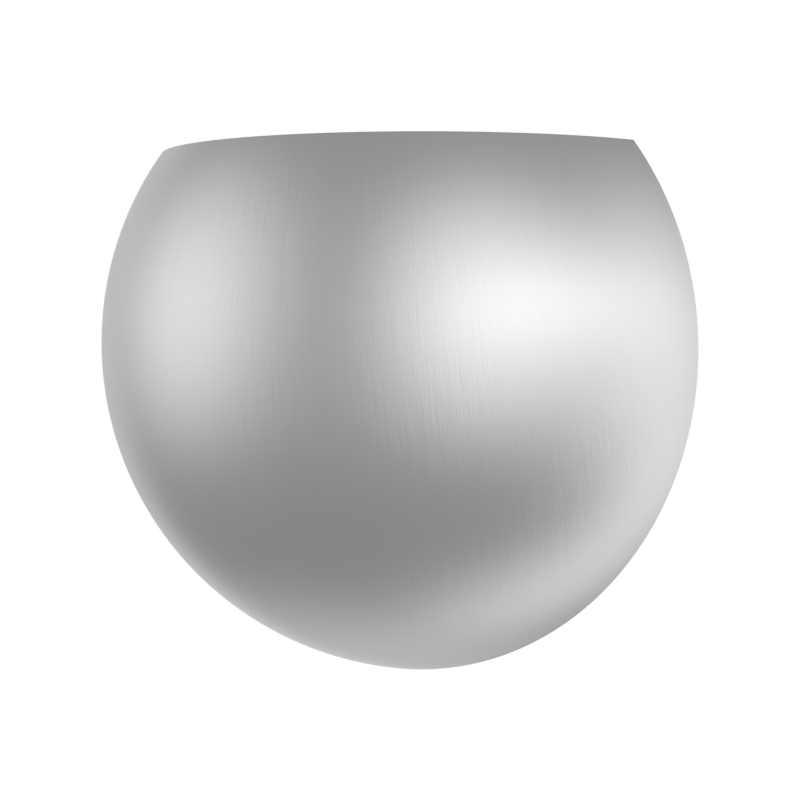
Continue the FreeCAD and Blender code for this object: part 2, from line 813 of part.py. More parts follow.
def bracket_rivets():
    """Two blind rivets through the bracket's leg and the pan."""
    grip = "rivet_tail_thick + pan_sheet + bracket_sheet"
    rivets = [
        turned(
            [
                ("0", "0"),
                ("rivet_tail", "0"),
                ("rivet_tail", "rivet_tail_thick"),
                ("rivet_radius", "rivet_tail_thick"),
                ("rivet_radius", grip),
                ("rivet_head", grip),
                ("rivet_head", f"{grip} + rivet_head_thick / 2"),
                ("rivet_head / 2", f"{grip} + rivet_head_thick"),
                ("0", f"{grip} + rivet_head_thick"),
            ],
            f"{side} * rivet_spread / 2",
            "0 - (sheet_back - rivet_tail_thick)",
            "0 - rivet_line",
            "out",
        )
        for side in SIDES.values()
    ]
    return part(group(rivets), "bracket_rivets")


def holder_body():
    """The porcelain cup of the lamp holder."""
    body = new_body()
    sketch = new_sketch(body, "XZ_Plane")
    inner = "holder_radius - holder_wall"
    polygon(
        sketch,
        [
            ("holder_bore", "0"),
            ("holder_foot_radius", "0"),
            ("holder_foot_radius", "holder_foot_height"),
            ("holder_radius", "holder_shoulder"),
            ("holder_radius", "holder_height"),
            (inner, "holder_height"),
            (inner, "holder_floor"),
            ("wire_bore", "holder_floor"),
            ("wire_bore", "stem_depth"),
            ("holder_bore", "stem_depth"),
        ],
    )
    raw = turn(body, sketch)
    levels = ("0", "holder_foot_height", "holder_shoulder", "holder_height")

    def outside(edge):
        wide = span(edge, "X") > size("2 * holder_foot_radius") - NEAR
        return wide and any(lies_at(edge, "Z", level) for level in levels)

    fillet(body, raw, "holder_round", outside)
    place(body, y="0 - lamp_forward", z="holder_foot")
    hole = cylinder(
        "eyelet_radius + eyelet_fit",
        "eyelet_grip + overrun",
        "0 - eyelet_out",
        "0 - lamp_forward",
        "socket_floor - eyelet_grip",
    )
    return part(cut(body, hole), "holder_body")


def threaded_tube(inner, thick, turns, foot_reach, z):
    """A thin tube with thread rings. Its foot is a flat ring that reaches in to the radius foot_reach."""
    root, crest = f"{inner} + {thick}", f"{inner} + {thick} + thread_height"
    inner_crest = f"{inner} + thread_height"
    outside = [(foot_reach, "0"), (root, "0")]
    inside = [(foot_reach, thick), (inner, thick)]
    for turn_index in range(turns):
        base = f"{thick} + {turn_index} * thread_spacing"
        levels = [
            f"{base} + thread_flat_share * thread_spacing",
            f"{base} + thread_spacing / 2",
            f"{base} + thread_spacing / 2 + thread_flat_share * thread_spacing",
            f"{base} + thread_spacing",
        ]
        outside += list(zip((root, crest, crest, root), levels))
        inside += list(zip((inner, inner_crest, inner_crest, inner), levels))
    return turned(outside + inside[::-1], "0", "0 - lamp_forward", z)


def holder_shell():
    """The screw shell inside the porcelain cup."""
    made = threaded_tube("shell_inner", "shell_sheet", SHELL_TURNS, "shell_foot", "socket_floor")
    return part(made, "holder_shell")


def holder_tongue():
    """The sprung centre contact, riveted to the cup's floor."""
    body = new_body()
    sketch = new_sketch(body, "XZ_Plane")
    foot_out = "0 - tongue_out"
    foot_in = "0 - (tongue_out - tongue_foot)"
    over = "tongue_over"
    polygon(
        sketch,
        [
            (foot_out, "0"),
            (foot_in, "0"),
            ("0 - tongue_over", "tongue_rise"),
            (over, "tongue_rise"),
            (over, "tongue_rise + tongue_sheet"),
            ("0 - (tongue_over + tongue_sheet / 2)", "tongue_rise + tongue_sheet"),
            ("0 - (tongue_out - tongue_foot + tongue_sheet / 2)", "tongue_sheet"),
            (foot_out, "tongue_sheet"),
        ],
    )
    pad(body, sketch, "tongue_width", centred=True)
    place(body, y="0 - lamp_forward", z="socket_floor")
    hole = cylinder(
        "eyelet_radius + eyelet_fit",
        "tongue_sheet + 2 * overrun",
        "0 - eyelet_out",
        "0 - lamp_forward",
        "socket_floor - overrun",
    )
    return part(cut(body, hole), "holder_tongue")


def tongue_rivet():
    """The rivet that holds the centre contact on the cup's floor."""
    top = "eyelet_grip + tongue_sheet"
    points = [
        ("0", "0"),
        ("eyelet_radius", "0"),
        ("eyelet_radius", top),
        ("eyelet_head", top),
        ("eyelet_head / 2", f"{top} + eyelet_head_thick"),
        ("0", f"{top} + eyelet_head_thick"),
    ]
    made = turned(points, "0 - eyelet_out", "0 - lamp_forward", "socket_floor - eyelet_grip")
    return part(made, "tongue_rivet")


def nipple():
    """The hollow threaded stem that holds the lamp holder on the shelf."""
    length = "nipple_below + bracket_sheet + stem_depth"
    points = [
        ("nipple_bore", "0"),
        ("nipple_radius", "0"),
        ("nipple_radius", length),
        ("nipple_bore", length),
    ]
    return part(turned(points, y="0 - lamp_forward", z="0 - nipple_foot"), "nipple")


def nipple_nut():
    blank = hex_bar("nut_flats", "nut_thick", "0", "0 - lamp_forward", "0 - (nut_top + nut_thick)")
    bore = cylinder(
        "nipple_radius + nipple_fit / 2",
        "nut_thick + 2 * overrun",
        "0",
        "0 - lamp_forward",
        "0 - (nut_top + nut_thick + overrun)",
    )
    return part(cut(blank, bore), "nipple_nut")


def star_washer():
    """The toothed washer under the shelf."""
    body = new_body()
    sketch = new_sketch(body, "XY_Plane")
    circle(sketch, "star_washer_radius")
    circle(sketch, "nipple_radius + nipple_fit")
    pad(body, sketch, "star_washer_thick")
    notch = new_sketch(body, "XY_Plane")
    outside = "star_washer_radius + star_tooth_depth"
    root = "star_washer_radius - star_tooth_depth"
    polygon(notch, [(root, "0"), (outside, "star_tooth_depth"), (outside, "0 - star_tooth_depth")])
    cut_notch = pocket(body, notch, back=True)
    teeth = body.newObject("PartDesign::PolarPattern", "PolarPattern")
    teeth.Originals = [cut_notch]
    teeth.Axis = (notch, ["N_Axis"])
    teeth.Angle = 360
    teeth.Occurrences = STAR_TOOTH_COUNT
    body.Tip = teeth
    doc.recompute()
    place(body, y="0 - lamp_forward", z="0 - nut_top")
    return part(body, "star_washer")


def lamp_contact():
    points = [
        ("0", "0"),
        ("contact_radius / 2", "0"),
        ("contact_radius", "contact_thick / 2"),
        ("contact_radius", "contact_thick"),
        ("0", "contact_thick"),
    ]
    return part(turned(points, y="0 - lamp_forward", z="lamp_foot"), "lamp_contact")


def lamp_insulator():
    """The black cone between the lamp's centre contact and its screw cap."""
    points = [
        ("0", "0"),
        ("insulator_radius", "0"),
        ("cap_foot", "insulator_height"),
        ("0", "insulator_height"),
    ]
    return part(turned(points, y="0 - lamp_forward", z="lamp_foot + contact_thick"), "lamp_insulator")


def lamp_cap():
    """The lamp's nickel-plated screw cap."""
    inner = "cap_radius - thread_height - cap_sheet"
    made = threaded_tube(inner, "cap_sheet", CAP_TURNS, "insulator_radius", "cap_foot_height")
    return part(made, "lamp_cap")


def lamp_housing():
    """The lamp's white neck, flaring up to the globe."""
    outer = [
        ("housing_neck", "0"),
        ("housing_neck", "housing_waist"),
        ("globe_radius", "housing_length"),
    ]
    inner = [
        ("globe_radius - housing_sheet", "housing_length"),
        ("housing_neck - housing_sheet", "cone_foot"),
        ("housing_neck - housing_sheet", "housing_sheet"),
        ("insulator_radius", "housing_sheet"),
        ("insulator_radius", "0"),
    ]
    body = new_body()
    sketch = new_sketch(body, "XZ_Plane")
    polygon(sketch, outer + inner)
    raw = turn(body, sketch)
    fillet(body, raw, "housing_bend", lambda e: lies_at(e, "Z", "housing_waist"))
    place(body, y="0 - lamp_forward", z="cap_top_height")
    return part(body, "lamp_housing")


def lamp_globe():
    """The lamp's opal diffuser: a dome on a short collar that stands on the housing."""
    y = "0 - lamp_forward"
    middle = "housing_top + globe_collar"
    inner = "globe_outer - globe_sheet"
    solids = []
    for radius in ("globe_outer", inner):
        dome = doc.addObject("Part::Sphere", "Dome")
        bind(dome, Radius=radius)
        dome.Angle1 = 0
        place(dome, "0", y, middle)
        solids.append(fuse(dome, cylinder(radius, "globe_collar", "0", y, "housing_top")))
    return part(cut(*solids), "lamp_globe")


def lamp_board():
    """The aluminium board that the light chips sit on, held in the housing's mouth."""
    points = [("0", "0"), ("board_radius", "0"), ("board_radius", "board_thick"), ("0", "board_thick")]
    return part(turned(points, y="0 - lamp_forward", z="board_foot"), "lamp_board")


def lamp_chips():
    chips = []
    for index in range(CHIP_COUNT):
        chip = doc.addObject("Part::Box", "Chip")
        bind(chip, Length="chip_length", Width="chip_width", Height="chip_thick")
        angle = 2 * math.pi * index / CHIP_COUNT
        turn_about = Rotation(Vector(0, 0, 1), math.degrees(angle))
        middle = Vector(size("chip_ring"), 0, 0)
        corner = turn_about.multVec(middle - Vector(size("chip_length") / 2, size("chip_width") / 2, 0))
        spot = Vector(0, -size("lamp_forward"), size("board_foot + board_thick"))
        chip.Placement = Placement(spot + corner, turn_about)
        chips.append(chip)
    return part(group(chips), "lamp_chips")


def lamp_driver():
    """The small circuit board that stands in the lamp's neck, with its capacitor and choke."""
    foot = "driver_foot"
    y = "0 - lamp_forward"
    board = box("driver_width", "driver_thick", "driver_length", "0 - driver_width / 2", y, foot)
    can = cylinder(
        "capacitor_radius",
        "capacitor_length",
        "0 - driver_width / 2 + capacitor_radius + driver_gap",
        f"{y} - capacitor_radius",
        f"{foot} + driver_gap",
    )
    choke = box(
        "choke_width",
        "choke_width",
        "choke_width",
        "driver_width / 2 - choke_width - driver_gap / 2",
        f"{y} - choke_width",
        f"{foot} + driver_length - choke_width - driver_gap",
    )
    return part(group([board, can, choke]), "lamp_driver")


def pole_x(pole):
    return f"(block_x + {pole} * pole_spacing)"


def turret_z(level):
    return f"(0 - block_drop + {level} * turret_spread / 2)"


def block_body():
    """The three-pole terminal block's moulded body."""
    foot = "0 - block_foot"
    left = "block_x - block_width / 2"
    solids = [box("block_width", "block_base", "block_height", left, "0 - block_face", foot)]
    tools = []
    for pole in POLES:
        x = pole_x(pole)
        length = "block_height + 2 * overrun"
        tools.append(cylinder("tube_radius + tube_fit", length, x, "0 - tube_forward", f"{foot} - overrun"))
        for level in SIDES.values():
            z = turret_z(level)
            solids.append(cylinder("turret_radius", "turret_top - pan_depth", x, "0 - pan_depth", z, "out"))
            depth = "turret_top - tube_forward + overrun"
            tools.append(cylinder("turret_bore", depth, x, "0 - tube_forward", z, "out"))
    for side in SIDES.values():
        x = f"block_x + {side} * pole_spacing / 2"
        start = "0 - (pan_depth - overrun)"
        radius = "block_screw + block_screw_fit"
        tools.append(cylinder(radius, "block_base + 2 * overrun", x, start, "0 - block_drop", "out"))
    return part(cut(fuse(*solids), *tools), "block_body")


def block_tubes():
    """The brass tubes that join the supply wires to the leads."""
    tubes = []
    foot = "0 - (block_drop + tube_length / 2)"
    for pole in POLES:
        x = pole_x(pole)
        length = "tube_length + 2 * overrun"
        tools = [cylinder("tube_bore", length, x, "0 - tube_forward", f"{foot} - overrun")]
        for level in SIDES.values():
            radius, z = "clamp_screw + tube_fit / 2", turret_z(level)
            tools.append(cylinder(radius, "tube_radius + overrun", x, "0 - tube_forward", z, "out"))
        tubes.append(cut(cylinder("tube_radius", "tube_length", x, "0 - tube_forward", foot), *tools))
    return part(group(tubes), "block_tubes")


def slotted_screw(shank, shank_length, head, head_thick, slot_width, slot_depth, x, foot, z):
    """A slotted screw whose tip is foot in front of the wall."""
    stem = cylinder(shank, shank_length, x, f"0 - ({foot})", z, "out")
    seat = f"{foot} + {shank_length}"
    top = cylinder(head, head_thick, x, f"0 - ({seat})", z, "out")
    groove = box(
        f"2 * ({head}) + 2 * overrun",
        f"{slot_depth} + overrun",
        slot_width,
        f"{x} - ({head}) - overrun",
        f"0 - ({seat} + {head_thick} + overrun)",
        f"{z} - {slot_width} / 2",
    )
    return cut(fuse(stem, top), groove)


def block_clamp_screws():
    screws = []
    tip = "tube_forward + core_radius + tube_fit"
    head_foot = "turret_top - clamp_sunk - clamp_head_thick"
    for pole in POLES:
        for level in SIDES.values():
            screws.append(
                slotted_screw(
                    "clamp_screw",
                    f"({head_foot} - ({tip}))",
                    "clamp_head",
                    "clamp_head_thick",
                    "clamp_slot",
                    "clamp_slot_depth",
                    pole_x(pole),
                    tip,
                    turret_z(level),
                )
            )
    return part(group(screws), "block_clamp_screws")


def block_fixing_screws():
    """The two screws that hold the terminal block on the pan."""
    screws = [
        slotted_screw(
            "block_screw",
            "(block_screw_tail + pan_sheet + block_base)",
            "block_screw_head",
            "block_screw_head_thick",
            "clamp_slot",
            "clamp_slot_depth",
            f"(block_x + {side} * pole_spacing / 2)",
            "sheet_back - block_screw_tail",
            "0 - block_drop",
        )
        for side in SIDES.values()
    ]
    return part(group(screws), "block_fixing_screws")


def earth_screw():
    made = slotted_screw(
        "earth_screw",
        "(earth_tail + pan_sheet + lug_thick + earth_washer_thick)",
        "earth_head",
        "earth_head_thick",
        "earth_slot",
        "earth_slot_depth",
        "earth_x",
        "sheet_back - earth_tail",
        "0 - earth_drop",
    )
    return part(made, "earth_screw")


def earth_lug():
    """The crimped ring terminal under the earth screw."""
    x, z = "earth_x", "0 - earth_drop"
    ring_plate = cylinder("lug_ring", "lug_thick", x, "0 - pan_depth", z, "out")
    neck_foot = f"{z} - lug_neck"
    front = "0 - (pan_depth + lug_thick)"
    neck = box("2 * lug_barrel", "lug_thick", "lug_neck", "earth_x - lug_barrel", front, neck_foot)
    barrel = cylinder("lug_barrel", "lug_barrel_length", x, "0 - lug_forward", neck_foot, "down")
    behind = "0 - (pan_depth - overrun)"
    hole = cylinder("earth_screw + earth_fit", "lug_thick + 2 * overrun", x, behind, z, "out")
    bore_end = f"{neck_foot} - lug_thick"
    bore = cylinder("lead_radius + tube_fit", "lug_barrel_length", x, "0 - lug_forward", bore_end, "down")
    return part(cut(fuse(ring_plate, neck, barrel), hole, bore), "earth_lug")


def lead_path(points):
    """A wire of straight runs joined by tangent arcs, each as large as its two runs allow."""
    edges = []
    radii = []
    here = points[0]
    for before, corner, after in zip(points, points[1:], points[2:]):
        into, out = corner - before, after - corner
        half_turn = into.getAngle(out) / 2
        trim = TRIM_SHARE * min(into.Length, out.Length)
        radii.append(trim / math.tan(half_turn))
        into.normalize()
        out.normalize()
        start, end = corner - into * trim, corner + out * trim
        inward = (out - into).normalize()
        middle = corner + inward * (radii[-1] / math.cos(half_turn) - radii[-1])
        edges.append(Part.LineSegment(here, start).toShape())
        edges.append(Part.Arc(start, middle, end).toShape())
        here = end
    edges.append(Part.LineSegment(here, points[-1]).toShape())
    return Part.Wire(edges), radii


def lead(label, start, near_start, near_end, end):
    """An insulated lead from start to end: its corners are LEAD_SHARES of the poles' spacing off two points."""
    step = size("pole_spacing")
    points = [start]
    for anchor, shares in zip((near_start, near_end), LEAD_SHARES[label]):
        points += [anchor + Vector(*share) * step for share in shares]
    points.append(end)
    wire, radii = lead_path(points)
    radius = size("lead_radius")
    section = Part.Wire(Part.makeCircle(radius, start, points[1] - start))
    made = doc.addObject("Part::Feature", "Lead")
    made.Shape = wire.makePipeShell([section], True, True)
    share = made.Shape.Volume / (math.pi * radius**2 * wire.Length)
    bends = ", ".join(f"{r:.1f}" for r in radii)
    print(f"{label}: {wire.Length:.1f} mm long, bend radii {bends} mm, volume share {share:.4f}")
    return part(made, label)


def leads():
    """The live and neutral leads out of the nipple, the earth lead, and their bare ends in the block."""
    for label, side, pole in (("live_lead", 1, -1), ("neutral_lead", -1, 0)):
        x, y = side * size("lead_split"), -size("lamp_forward")
        top = Vector(x, y, size("socket_floor - lead_short"))
        stem = Vector(x, y, -size("nipple_foot"))
        end = Vector(size(pole_x(pole)), -size("tube_forward"), -size("lead_end"))
        lead(label, top, stem, end, end)
    start = Vector(size(pole_x(1)), -size("tube_forward"), -size("lead_end"))
    lug = Vector(size("earth_x"), -size("lug_forward"), -size("lug_lead_end"))
    lead("earth_lead", start, start, lug, lug)
    cores = []
    for pole in POLES:
        cores.append(cylinder("core_radius", "core_bare", pole_x(pole), "0 - tube_forward", "0 - lead_end"))
    part(group(cores), "lead_cores")


def rubber_stops():
    """Soft stops on the pan's side that keep the bowl from rattling."""
    outer = "sqrt(shade_inner^2 - (sphere_behind + stop_forward + stop_radius)^2) - stop_clear"
    stops = []
    for angle in STOP_ANGLES:
        stop = doc.addObject("Part::Cylinder", "Stop")
        bind(stop, Radius="stop_radius", Height=f"{outer} - pan_radius - stop_seat")
        out = Vector(math.cos(math.radians(angle)), 0, math.sin(math.radians(angle)))
        spot = out * size("pan_radius + stop_seat") + Vector(0, -size("stop_forward"), 0)
        stop.Placement = Placement(spot, Rotation(Vector(0, 0, 1), out))
        stops.append(stop)
    return part(group(stops), "rubber_stops")


def screw_fittings(name, side):
    """The nylon washer under a thumbscrew's collar and the ring that keeps the screw in its ear."""
    x, z = f"{side} * pillar_x", "pillar_height"
    bore = "screw_radius + screw_ring_fit"
    ring(f"screw_washer_{name}", bore, "screw_washer_radius", "screw_washer_thick", x, "0 - ear_front", z)
    behind = "0 - (ear_back - screw_ring_thick)"
    ring(f"screw_ring_{name}", bore, "screw_ring_radius", "screw_ring_thick", x, behind, z)


def build():
    shade()
    back_pan()
    insulation_pad()
    cable_bushing()
    for name, side in SIDES.items():
        pillar(name, side)
        ear(name, side)
        thumbscrew(name, side)
        screw_fittings(name, side)
    lamp_bracket()
    bracket_rivets()
    holder_body()
    holder_shell()
    holder_tongue()
    tongue_rivet()
    nipple()
    nipple_nut()
    star_washer()
    lamp_contact()
    lamp_insulator()
    lamp_cap()
    lamp_housing()
    lamp_globe()
    lamp_board()
    lamp_chips()
    lamp_driver()
    block_body()
    block_tubes()
    block_clamp_screws()
    block_fixing_screws()
    ring(
        "earth_washer",
        "earth_screw + earth_fit",
        "earth_washer",
        "earth_washer_thick",
        "earth_x",
        "0 - (pan_depth + lug_thick)",
        "0 - earth_drop",
    )
    earth_screw()
    earth_lug()
    leads()
    rubber_stops()


def check():
    """Stops before anything is written if a feature failed or a sub-part isn't sound."""
    failed = [o.Label for o in doc.Objects if "Invalid" in o.State or "Error" in o.State]
    if failed:
        raise RuntimeError(f"failed objects: {failed}")
    for obj in PARTS:
        if obj.Shape.isNull() or not obj.Shape.isValid() or not obj.Shape.Solids:
            raise RuntimeError(f"{obj.Label} is not sound")


build()
doc.recompute()
check()
os.makedirs("parts", exist_ok=True)
for finished in PARTS:
    finished.Shape.exportStep(f"parts/{finished.Label}.step")
print(f"{len(PARTS)} sub-parts, {sum(len(p.Shape.Solids) for p in PARTS)} solids")
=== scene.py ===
import math

import bpy
from mathutils import Matrix, Vector, noise


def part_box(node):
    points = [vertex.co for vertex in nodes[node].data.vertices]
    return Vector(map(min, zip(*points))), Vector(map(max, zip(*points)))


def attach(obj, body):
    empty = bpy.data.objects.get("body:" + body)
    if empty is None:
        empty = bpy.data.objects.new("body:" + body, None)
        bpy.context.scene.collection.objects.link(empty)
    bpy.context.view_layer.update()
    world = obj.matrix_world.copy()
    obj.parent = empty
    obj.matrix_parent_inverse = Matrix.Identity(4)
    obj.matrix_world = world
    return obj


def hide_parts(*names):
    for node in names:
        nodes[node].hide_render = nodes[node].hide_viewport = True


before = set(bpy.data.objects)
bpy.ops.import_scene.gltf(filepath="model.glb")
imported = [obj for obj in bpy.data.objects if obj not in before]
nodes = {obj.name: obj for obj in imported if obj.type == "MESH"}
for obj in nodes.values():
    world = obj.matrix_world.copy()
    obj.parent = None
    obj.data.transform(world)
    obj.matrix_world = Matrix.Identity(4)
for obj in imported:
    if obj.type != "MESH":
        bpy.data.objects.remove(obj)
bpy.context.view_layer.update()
mm = 0.001
print("frame loaded:", len(nodes), "nodes")


def middle(node):
    low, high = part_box(node)
    return (low + high) / 2


def addObject(name, data):
    made = bpy.data.objects.new(name, data)
    bpy.context.scene.collection.objects.link(made)
    return made


# camera

camera = {
    "place": (0.30084, -0.50423, 0.02475),
    "aim": (-0.00883, 0.02611, -0.02264),
    "roll": 0.216,  # degrees
    "lens": 67.53,
    "sensor": 36,
    "nearest": 0.01,
    "farthest": 60,
}


def makeCamera():
    data = bpy.data.cameras.new("camera")
    data.lens = camera["lens"]
    data.sensor_width = camera["sensor"]
    data.clip_start = camera["nearest"]
    data.clip_end = camera["farthest"]
    eye = addObject("camera", data)
    sight = Vector(camera["aim"]) - Vector(camera["place"])
    roll = Matrix.Rotation(math.radians(camera["roll"]), 3, "Z")
    turn = sight.to_track_quat("-Z", "Y").to_matrix() @ roll
    eye.matrix_world = Matrix.Translation(camera["place"]) @ turn.to_4x4()
    bpy.context.scene.camera = eye


# shader maths

def plug(tree, socket, value):
    if isinstance(value, Wire):
        tree.links.new(value.socket, socket)
    elif socket.type == "RGBA" and len(value) == 3:
        socket.default_value = (*value, 1)
    else:
        socket.default_value = value


class Wire:
    # one output socket, so that shader maths reads as arithmetic on values
    def __init__(self, tree, socket):
        self.tree = tree
        self.socket = socket

    def calc(self, operation, *values):
        step = self.tree.nodes.new("ShaderNodeMath")
        step.operation = operation
        for socket, value in zip(step.inputs, values):
            plug(self.tree, socket, value)
        return Wire(self.tree, step.outputs[0])

    def __add__(self, other):
        return self.calc("ADD", self, other)

    def __radd__(self, other):
        return self.calc("ADD", other, self)

    def __sub__(self, other):
        return self.calc("SUBTRACT", self, other)

    def __rsub__(self, other):
        return self.calc("SUBTRACT", other, self)

    def __mul__(self, other):
        return self.calc("MULTIPLY", self, other)

    def __rmul__(self, other):
        return self.calc("MULTIPLY", other, self)

    def __truediv__(self, other):
        return self.calc("DIVIDE", self, other)

    def __rtruediv__(self, other):
        return self.calc("DIVIDE", other, self)

    def __abs__(self):
        return self.calc("ABSOLUTE", self)

    def clamp(self):
        return self.calc("MAXIMUM", self.calc("MINIMUM", self, 1.0), 0.0)

    def atan2(self, other):
        return self.calc("ARCTAN2", self, other)

    def sine(self):
        return self.calc("SINE", self)


class Shading:
    # a node tree that is filled by calls
    def __init__(self, tree):
        self.tree = tree

    def node(self, kind, settings=None, values=None, output=0):
        made = self.tree.nodes.new(kind)
        for name, value in (settings or {}).items():
            setattr(made, name, value)
        for key, value in (values or {}).items():
            plug(self.tree, made.inputs[key], value)
        return Wire(self.tree, made.outputs[output])

    def place(self):
        return self.node("ShaderNodeTexCoord", output="Object")

    def vector(self, operation, first, second, output="Vector"):
        return self.node("ShaderNodeVectorMath", {"operation": operation}, {0: first, 1: second}, output)

    def dot(self, first, second):
        return self.vector("DOT_PRODUCT", first, second, "Value")

    def far(self, first, second):
        return self.vector("DISTANCE", first, second, "Value")

    def join(self, x, y, z):
        return self.node("ShaderNodeCombineXYZ", None, {"X": x, "Y": y, "Z": z})

    def noise(self, where, scale, detail=2, rough=0.5, output=0):
        values = {"Vector": where, "Scale": scale, "Detail": detail, "Roughness": rough}
        return self.node("ShaderNodeTexNoise", None, values, output)

    def streaks(self, where, scales, detail, rough=0.5):
        # noise with a scale of its own along x, y and z
        return self.noise(self.vector("MULTIPLY", where, scales), 1, detail, rough)

    def cells(self, where, scale, feature="F1", output="Distance"):
        values = {"Vector": where, "Scale": scale}
        return self.node("ShaderNodeTexVoronoi", {"feature": feature}, values, output)

    def step(self, value, low, high):
        # 0 at low, 1 at high
        values = {"Value": value, "From Min": low, "From Max": high}
        return self.node("ShaderNodeMapRange", {"interpolation_type": "SMOOTHSTEP"}, values)

    def blend(self, share, first, second):
        # a Mix node's colours are its sockets 6 and 7 and its output 2
        return self.node("ShaderNodeMix", {"data_type": "RGBA"}, {0: share, 6: first, 7: second}, 2)

    def bump(self, height, depth):
        return self.node("ShaderNodeBump", None, {"Distance": depth, "Height": height})

    def ray(self, kind):
        return self.node("ShaderNodeLightPath", output=kind)

    def seen(self):
        # 1 for what the camera sees, also through something clear
        return (self.ray("Is Camera Ray") + self.ray("Is Transmission Ray")).clamp()


class Finish(Shading):
    # one material, with its Principled shader
    def __init__(self, name):
        self.material = bpy.data.materials.new(name)
        self.material.use_nodes = True
        super().__init__(self.material.node_tree)
        self.shader = self.tree.nodes["Principled BSDF"]

    def shades(self, share, colour, dark, light):
        # between a darker and a lighter one of the same colour
        return self.blend(share, dim(colour, dark), dim(colour, light))

    def surface(self, values):
        for name, value in values.items():
            plug(self.tree, self.shader.inputs[name], value)
        return self.material


def dim(colour, share):
    return tuple(channel * share for channel in colour)


# finishes: each scale is per metre, and a noise varies round 0.5

bowl = {
    "sheet": 1.2 * mm,
    "edgeRound": 0.35 * mm,
    "roundSteps": 3,
    "roundFrom": 40,  # degrees: flatter corners aren't rounded
    "edgeLoss": 0.09 * mm,  # what the rounded edge takes off the half width
    "across": 100,  # faces along the rim, and down each side
    "down": 84,
    "rings": 22,
    "coreShare": 0.5,  # how far the rings reach in
    "bulgeShare": 0.5,  # how much of the edge's bulge the grid's sides keep
    "lowCorner": 45,  # degrees off straight down, where the grid's two lower corners lie
    "steel": (0.66, 0.66, 0.66),
    "edgeTint": (0.75, 0.75, 0.75),  # steel doesn't brighten towards a grazing view as an ideal mirror does
    "brushAxis": (0.085, -0.44, 1.0),  # the brush swung about this line, which passes behind the ball
    "brushPivot": (-63 * mm, 159 * mm, 0),  # from the ball's centre
    "wander": 0.01,  # radians that the brush strayed
    "wanderScale": 9,
    "lineWidth": 0.75 * mm,
    "lineLength": 30 * mm,
    "lineDepth": 0.065 * mm,
    "grainSize": (0.25, 0.4),  # the grain's width and length, as shares of a line's
    "grainShare": 0.35,
    "longSize": (4, 3),
    "longDepth": 0.6,  # as a share of the lines' depth
    "cloudScale": 22,
    "pressure": 1.05,
    "deepPatch": (81 * mm, -69 * mm, -20 * mm),  # where the brush bit deeper
    "deepPressure": 0.6,
    "faintPatch": (50 * mm, -85 * mm, 24 * mm),  # and where it slid
    "faintPressure": -0.35,
    "patchReach": 40 * mm,  # both patches end here
    "patchHeart": 10 * mm,  # and are full within this
    "tones": (0.965, 1.035),  # the steel's colour varies between these shares of it
    "lineTone": 0.7,
    "cloudTone": 0.3,
    "longTone": 0.25,
    "rough": 0.36,
    "lineRough": 0.03,
    "cloudRough": 0.03,
}


def bowlCentre():
    low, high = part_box("shade")
    half = high.x + bowl["edgeLoss"]
    radius = (half * half + low.y * low.y) / (-2 * low.y)
    return Vector((0, low.y + radius, 0)), radius


def brushedSteel():
    finish = Finish("brushedSteel")
    centre, radius = bowlCentre()
    pivot = centre + Vector(bowl["brushPivot"])
    up = Vector(bowl["brushAxis"]).normalized()
    side = Vector((0, -1, 0)).cross(up).normalized()
    out = up.cross(side)
    reach = out.dot(centre - pivot) + radius
    place = finish.place()
    spot = finish.vector("SUBTRACT", place, tuple(pivot))
    around = finish.dot(spot, tuple(side)).atan2(finish.dot(spot, tuple(out)))
    along = finish.dot(spot, tuple(up))
    wander = (finish.noise(spot, bowl["wanderScale"], 1) - 0.5) * bowl["wander"]
    across = (around + wander) * reach

    def strokes(width, length, seed, detail=2, rough=0.5):
        # noise drawn out along the brush, its width and length as shares of a line's
        x = across / (width * bowl["lineWidth"])
        y = along / (length * bowl["lineLength"])
        return finish.noise(finish.join(x, y, seed), 1, detail, rough)

    def patch(name):
        return finish.step(finish.far(place, bowl[name]), bowl["patchReach"], bowl["patchHeart"])

    fine = strokes(1, 1, 0, 3, 0.65)
    grain = strokes(*bowl["grainSize"], 7)
    lines = fine * (1 - bowl["grainShare"]) + grain * bowl["grainShare"] - 0.5
    long = strokes(*bowl["longSize"], 3) - 0.5
    cloud = finish.noise(spot, bowl["cloudScale"], 3) - 0.5
    deep = patch("deepPatch") * bowl["deepPressure"]
    faint = patch("faintPatch") * bowl["faintPressure"]
    pressure = bowl["pressure"] + deep + faint
    tone = 0.5 + lines * bowl["lineTone"] + cloud * bowl["cloudTone"] + long * bowl["longTone"]
    return finish.surface({
        "Base Color": finish.shades(tone.clamp(), bowl["steel"], *bowl["tones"]),
        "Metallic": 1.0,
        "Specular Tint": bowl["edgeTint"],
        "Roughness": bowl["rough"] + lines * bowl["lineRough"] + cloud * bowl["cloudRough"],
        "Normal": finish.bump((lines + long * bowl["longDepth"]) * pressure, bowl["lineDepth"]),
    })


enamel = {
    "white": (0.83, 0.83, 0.81),
    "rough": 0.40,
    "peelScale": 900,
    "peelRough": 0.16,
    "peelDepth": 0.06 * mm,
    "cloudScale": 25,
    "cloudTones": (0.96, 1.02),
    "speckScale": 420,
    "speckEdge": (0.10, 0.04),
    "speckTone": 0.7,
    "speckShare": 0.25,
    "bareRadius": 7.2 * mm,  # the paint is left off round the earth point
    "bareFade": 0.3 * mm,
    "bareWander": 1.2 * mm,
    "bareWanderScale": 700,
    "bareDark": (0.52, 0.52, 0.52),
    "bareLight": (0.66, 0.66, 0.66),
    "bareScale": 500,
    "bareRough": 0.05,
}


